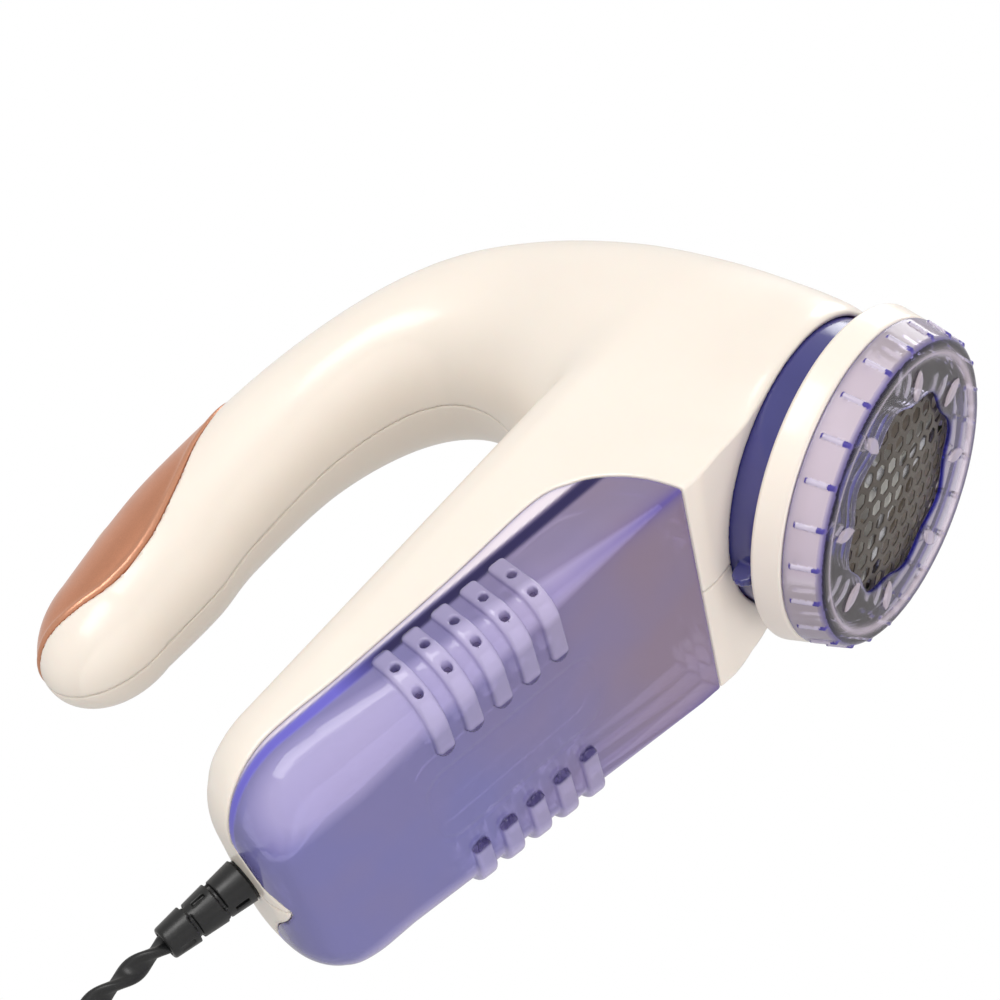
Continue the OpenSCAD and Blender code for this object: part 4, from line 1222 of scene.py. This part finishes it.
# CAD nodes that keep their own shape, by finish
KEPT = {
    "cream_inner": ["fan_chamber", "cord_clamp"],
    "white_plastic": ["blade_hub", "suction_fan"],
    "steel": ["housing_screws", "cutter_blades", "blade_spring", "motor_shaft", "motor_can", "motor_screws",
              "clamp_screws"],
    "black_plastic": ["switch_body", "motor_end_bell", "bridge_rectifier"],
    "seal_rubber": ["bin_inlet_seal"],
    "magnet": ["motor_magnets"],
    "copper_winding": ["armature"],
    "bronze": ["lower_bush", "upper_bush"],
    "brass": ["commutator", "plug_pins"],
    "carbon": ["carbon_brushes"],
    "circuit_green": ["circuit_board"],
    "capacitor_sleeve": ["capacitor"],
    "wire_red": ["wiring_harness"],
}
SOFT_EDGE = 0.00015


def finish_kept_nodes(looks):
    """Gives each CAD node that stays its finish, and breaks its sharp edges slightly."""
    for slot_name, nodes in KEPT.items():
        for name in nodes:
            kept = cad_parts[name]
            kept.data.materials.clear()
            kept.data.materials.append(looks[slot_name])
            bevel = kept.modifiers.new("soft_edges", "BEVEL")
            bevel.width = SOFT_EDGE
            bevel.segments = 2
            bevel.limit_method = "ANGLE"
            bevel.angle_limit = math.radians(40)
            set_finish(kept, slot_name)


# ---------------------------------------------------------------- stage, lights and camera
FLOOR_GAP = 0.03
FLOOR_HALF = 6.0
FLOOR_FADE = (0.15, 1.3)
CAMERA_TURN = math.radians(-34.6)
CAMERA_RISE = math.radians(-31.9)
CAMERA_ROLL = math.radians(-68.7)
CAMERA_DISTANCE = 428.4
CAMERA_SHIFT = (-86.62, -1.2)
CAMERA_LENS = 72


def view_axes(turn, rise, roll):
    """Right, up and back of a camera that looks at the object from that side."""
    back = Vector((math.sin(turn) * math.cos(rise), -math.cos(turn) * math.cos(rise), math.sin(rise)))
    level = Vector((0, 0, 1)).cross(back).normalized()
    rise_axis = back.cross(level)
    right = math.cos(roll) * level + math.sin(roll) * rise_axis
    up = math.cos(roll) * rise_axis - math.sin(roll) * level
    return right, up, back


def make_camera():
    right, up, back = view_axes(CAMERA_TURN, CAMERA_RISE, CAMERA_ROLL)
    data = bpy.data.cameras.new("camera")
    data.lens, data.sensor_width = CAMERA_LENS, 36
    data.clip_start, data.clip_end = 0.01, 20
    made = bpy.data.objects.new("camera", data)
    turn = Matrix((right, up, back)).transposed().to_4x4()
    place = back * CAMERA_DISTANCE + right * CAMERA_SHIFT[0] + up * CAMERA_SHIFT[1]
    made.matrix_world = Matrix.Translation(place * MM) @ turn
    bpy.context.scene.collection.objects.link(made)
    bpy.context.scene.camera = made
    return right, up, back


def make_light(name, direction, distance, size, power, colour=(1, 1, 1)):
    """A soft rectangular light that faces the middle of the object."""
    data = bpy.data.lights.new(name, "AREA")
    data.shape = "RECTANGLE"
    data.size, data.size_y = size
    data.energy = power
    data.color = colour
    made = bpy.data.objects.new(name, data)
    middle = (Vector(CAD_LOW) + Vector(CAD_HIGH)) / 2
    direction = Vector(direction).normalized()
    made.location = middle + direction * distance
    made.rotation_mode = "QUATERNION"
    made.rotation_quaternion = direction.to_track_quat("Z", "Y")
    bpy.context.scene.collection.objects.link(made)
    return made


def make_floor():
    """A plain pale floor. Seen from below it lets the view through, since the camera looks up at the object."""
    half = FLOOR_HALF
    z = (CAD_LOW[2] - FLOOR_GAP) / MM
    corners = [(-half / MM, -half / MM, z), (half / MM, -half / MM, z), (half / MM, half / MM, z), (-half / MM, half / MM, z)]
    floor = new_object("floor", corners, [(0, 1, 2, 3)], smooth=False)
    f = Finish("floor")
    tone = f.span(f.noise(160, 3), 0.3, 0.7, 0.97, 1.0)
    pale = f.mix(tone, (0.80, 0.80, 0.81, 1), (0.88, 0.88, 0.88, 1))
    front = f.principled(Base_Color=pale, Roughness=0.6)
    # far away it fades to the white of the backdrop, so that no horizon shows
    away = f.add("VectorMath", {0: f.place}, operation="LENGTH").outputs["Value"]
    path = f.add("LightPath").outputs
    fade = f.math("MULTIPLY", f.span(away, *FLOOR_FADE), path["Is Camera Ray"])
    backdrop = f.add("Emission", {"Color": (1, 1, 1, 1), "Strength": 1}).outputs[0]
    front = f.add("MixShader", {0: fade, 1: front, 2: backdrop}).outputs[0]
    behind = f.add("BsdfTransparent").outputs[0]
    hidden = f.math("MAXIMUM", f.add("NewGeometry").outputs["Backfacing"], path["Is Shadow Ray"])
    f.done(f.add("MixShader", {0: hidden, 1: front, 2: behind}).outputs[0])
    floor.data.materials.append(f.material)


def make_world():
    """White to the camera, soft grey light to everything else."""
    world = bpy.data.worlds.new("studio")
    bpy.context.scene.world = world
    world.use_nodes = True
    tree = world.node_tree
    tree.nodes.clear()
    output = tree.nodes.new("ShaderNodeOutputWorld")
    mix = tree.nodes.new("ShaderNodeMixShader")
    path = tree.nodes.new("ShaderNodeLightPath")
    seen = tree.nodes.new("ShaderNodeBackground")
    seen.inputs[0].default_value = (1, 1, 1, 1)
    light = tree.nodes.new("ShaderNodeBackground")
    light.inputs[0].default_value = (1, 0.98, 0.96, 1)
    light.inputs[1].default_value = WORLD_LIGHT
    tree.links.new(path.outputs["Is Camera Ray"], mix.inputs[0])
    tree.links.new(light.outputs[0], mix.inputs[1])
    tree.links.new(seen.outputs[0], mix.inputs[2])
    tree.links.new(mix.outputs[0], output.inputs[0])


WORLD_LIGHT = 0.62


def build():
    looks = {name: make() for name, make in FINISHES.items()}
    made = [
        make_housing("housing_right", -1), make_housing("housing_left", 1), make_trim(), make_knob(), make_bin(),
        make_guard(), make_foil(), make_ring(), make_collar(), make_boot(), make_cable(), make_plug(),
    ]
    for piece in made:
        piece.data.materials.append(looks[piece["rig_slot"]])
    finish_kept_nodes(looks)


build()
right, up, back = make_camera()
make_floor()
make_world()
make_light("key", back * 1.0 + up * 0.9 - right * 0.35, 1.1, (0.7, 0.5), 5.2, (1, 0.99, 0.98))
make_light("fill", back * 0.9 - up * 0.6 + right * 0.7, 1.3, (0.9, 0.9), 4, (0.95, 0.97, 1))
make_light("under", (-0.35, -0.35, -1), 1.0, (0.8, 0.8), 4.5, (1, 0.96, 0.92))
make_light("top", (0.2, 0.1, 1), 1.5, (1.6, 1.6), 1.5)
make_light("rim", up * 0.8 - back * 0.5 + right * 0.6, 1.2, (0.6, 0.8), 5)
bpy.context.scene.view_settings.view_transform = "Standard"
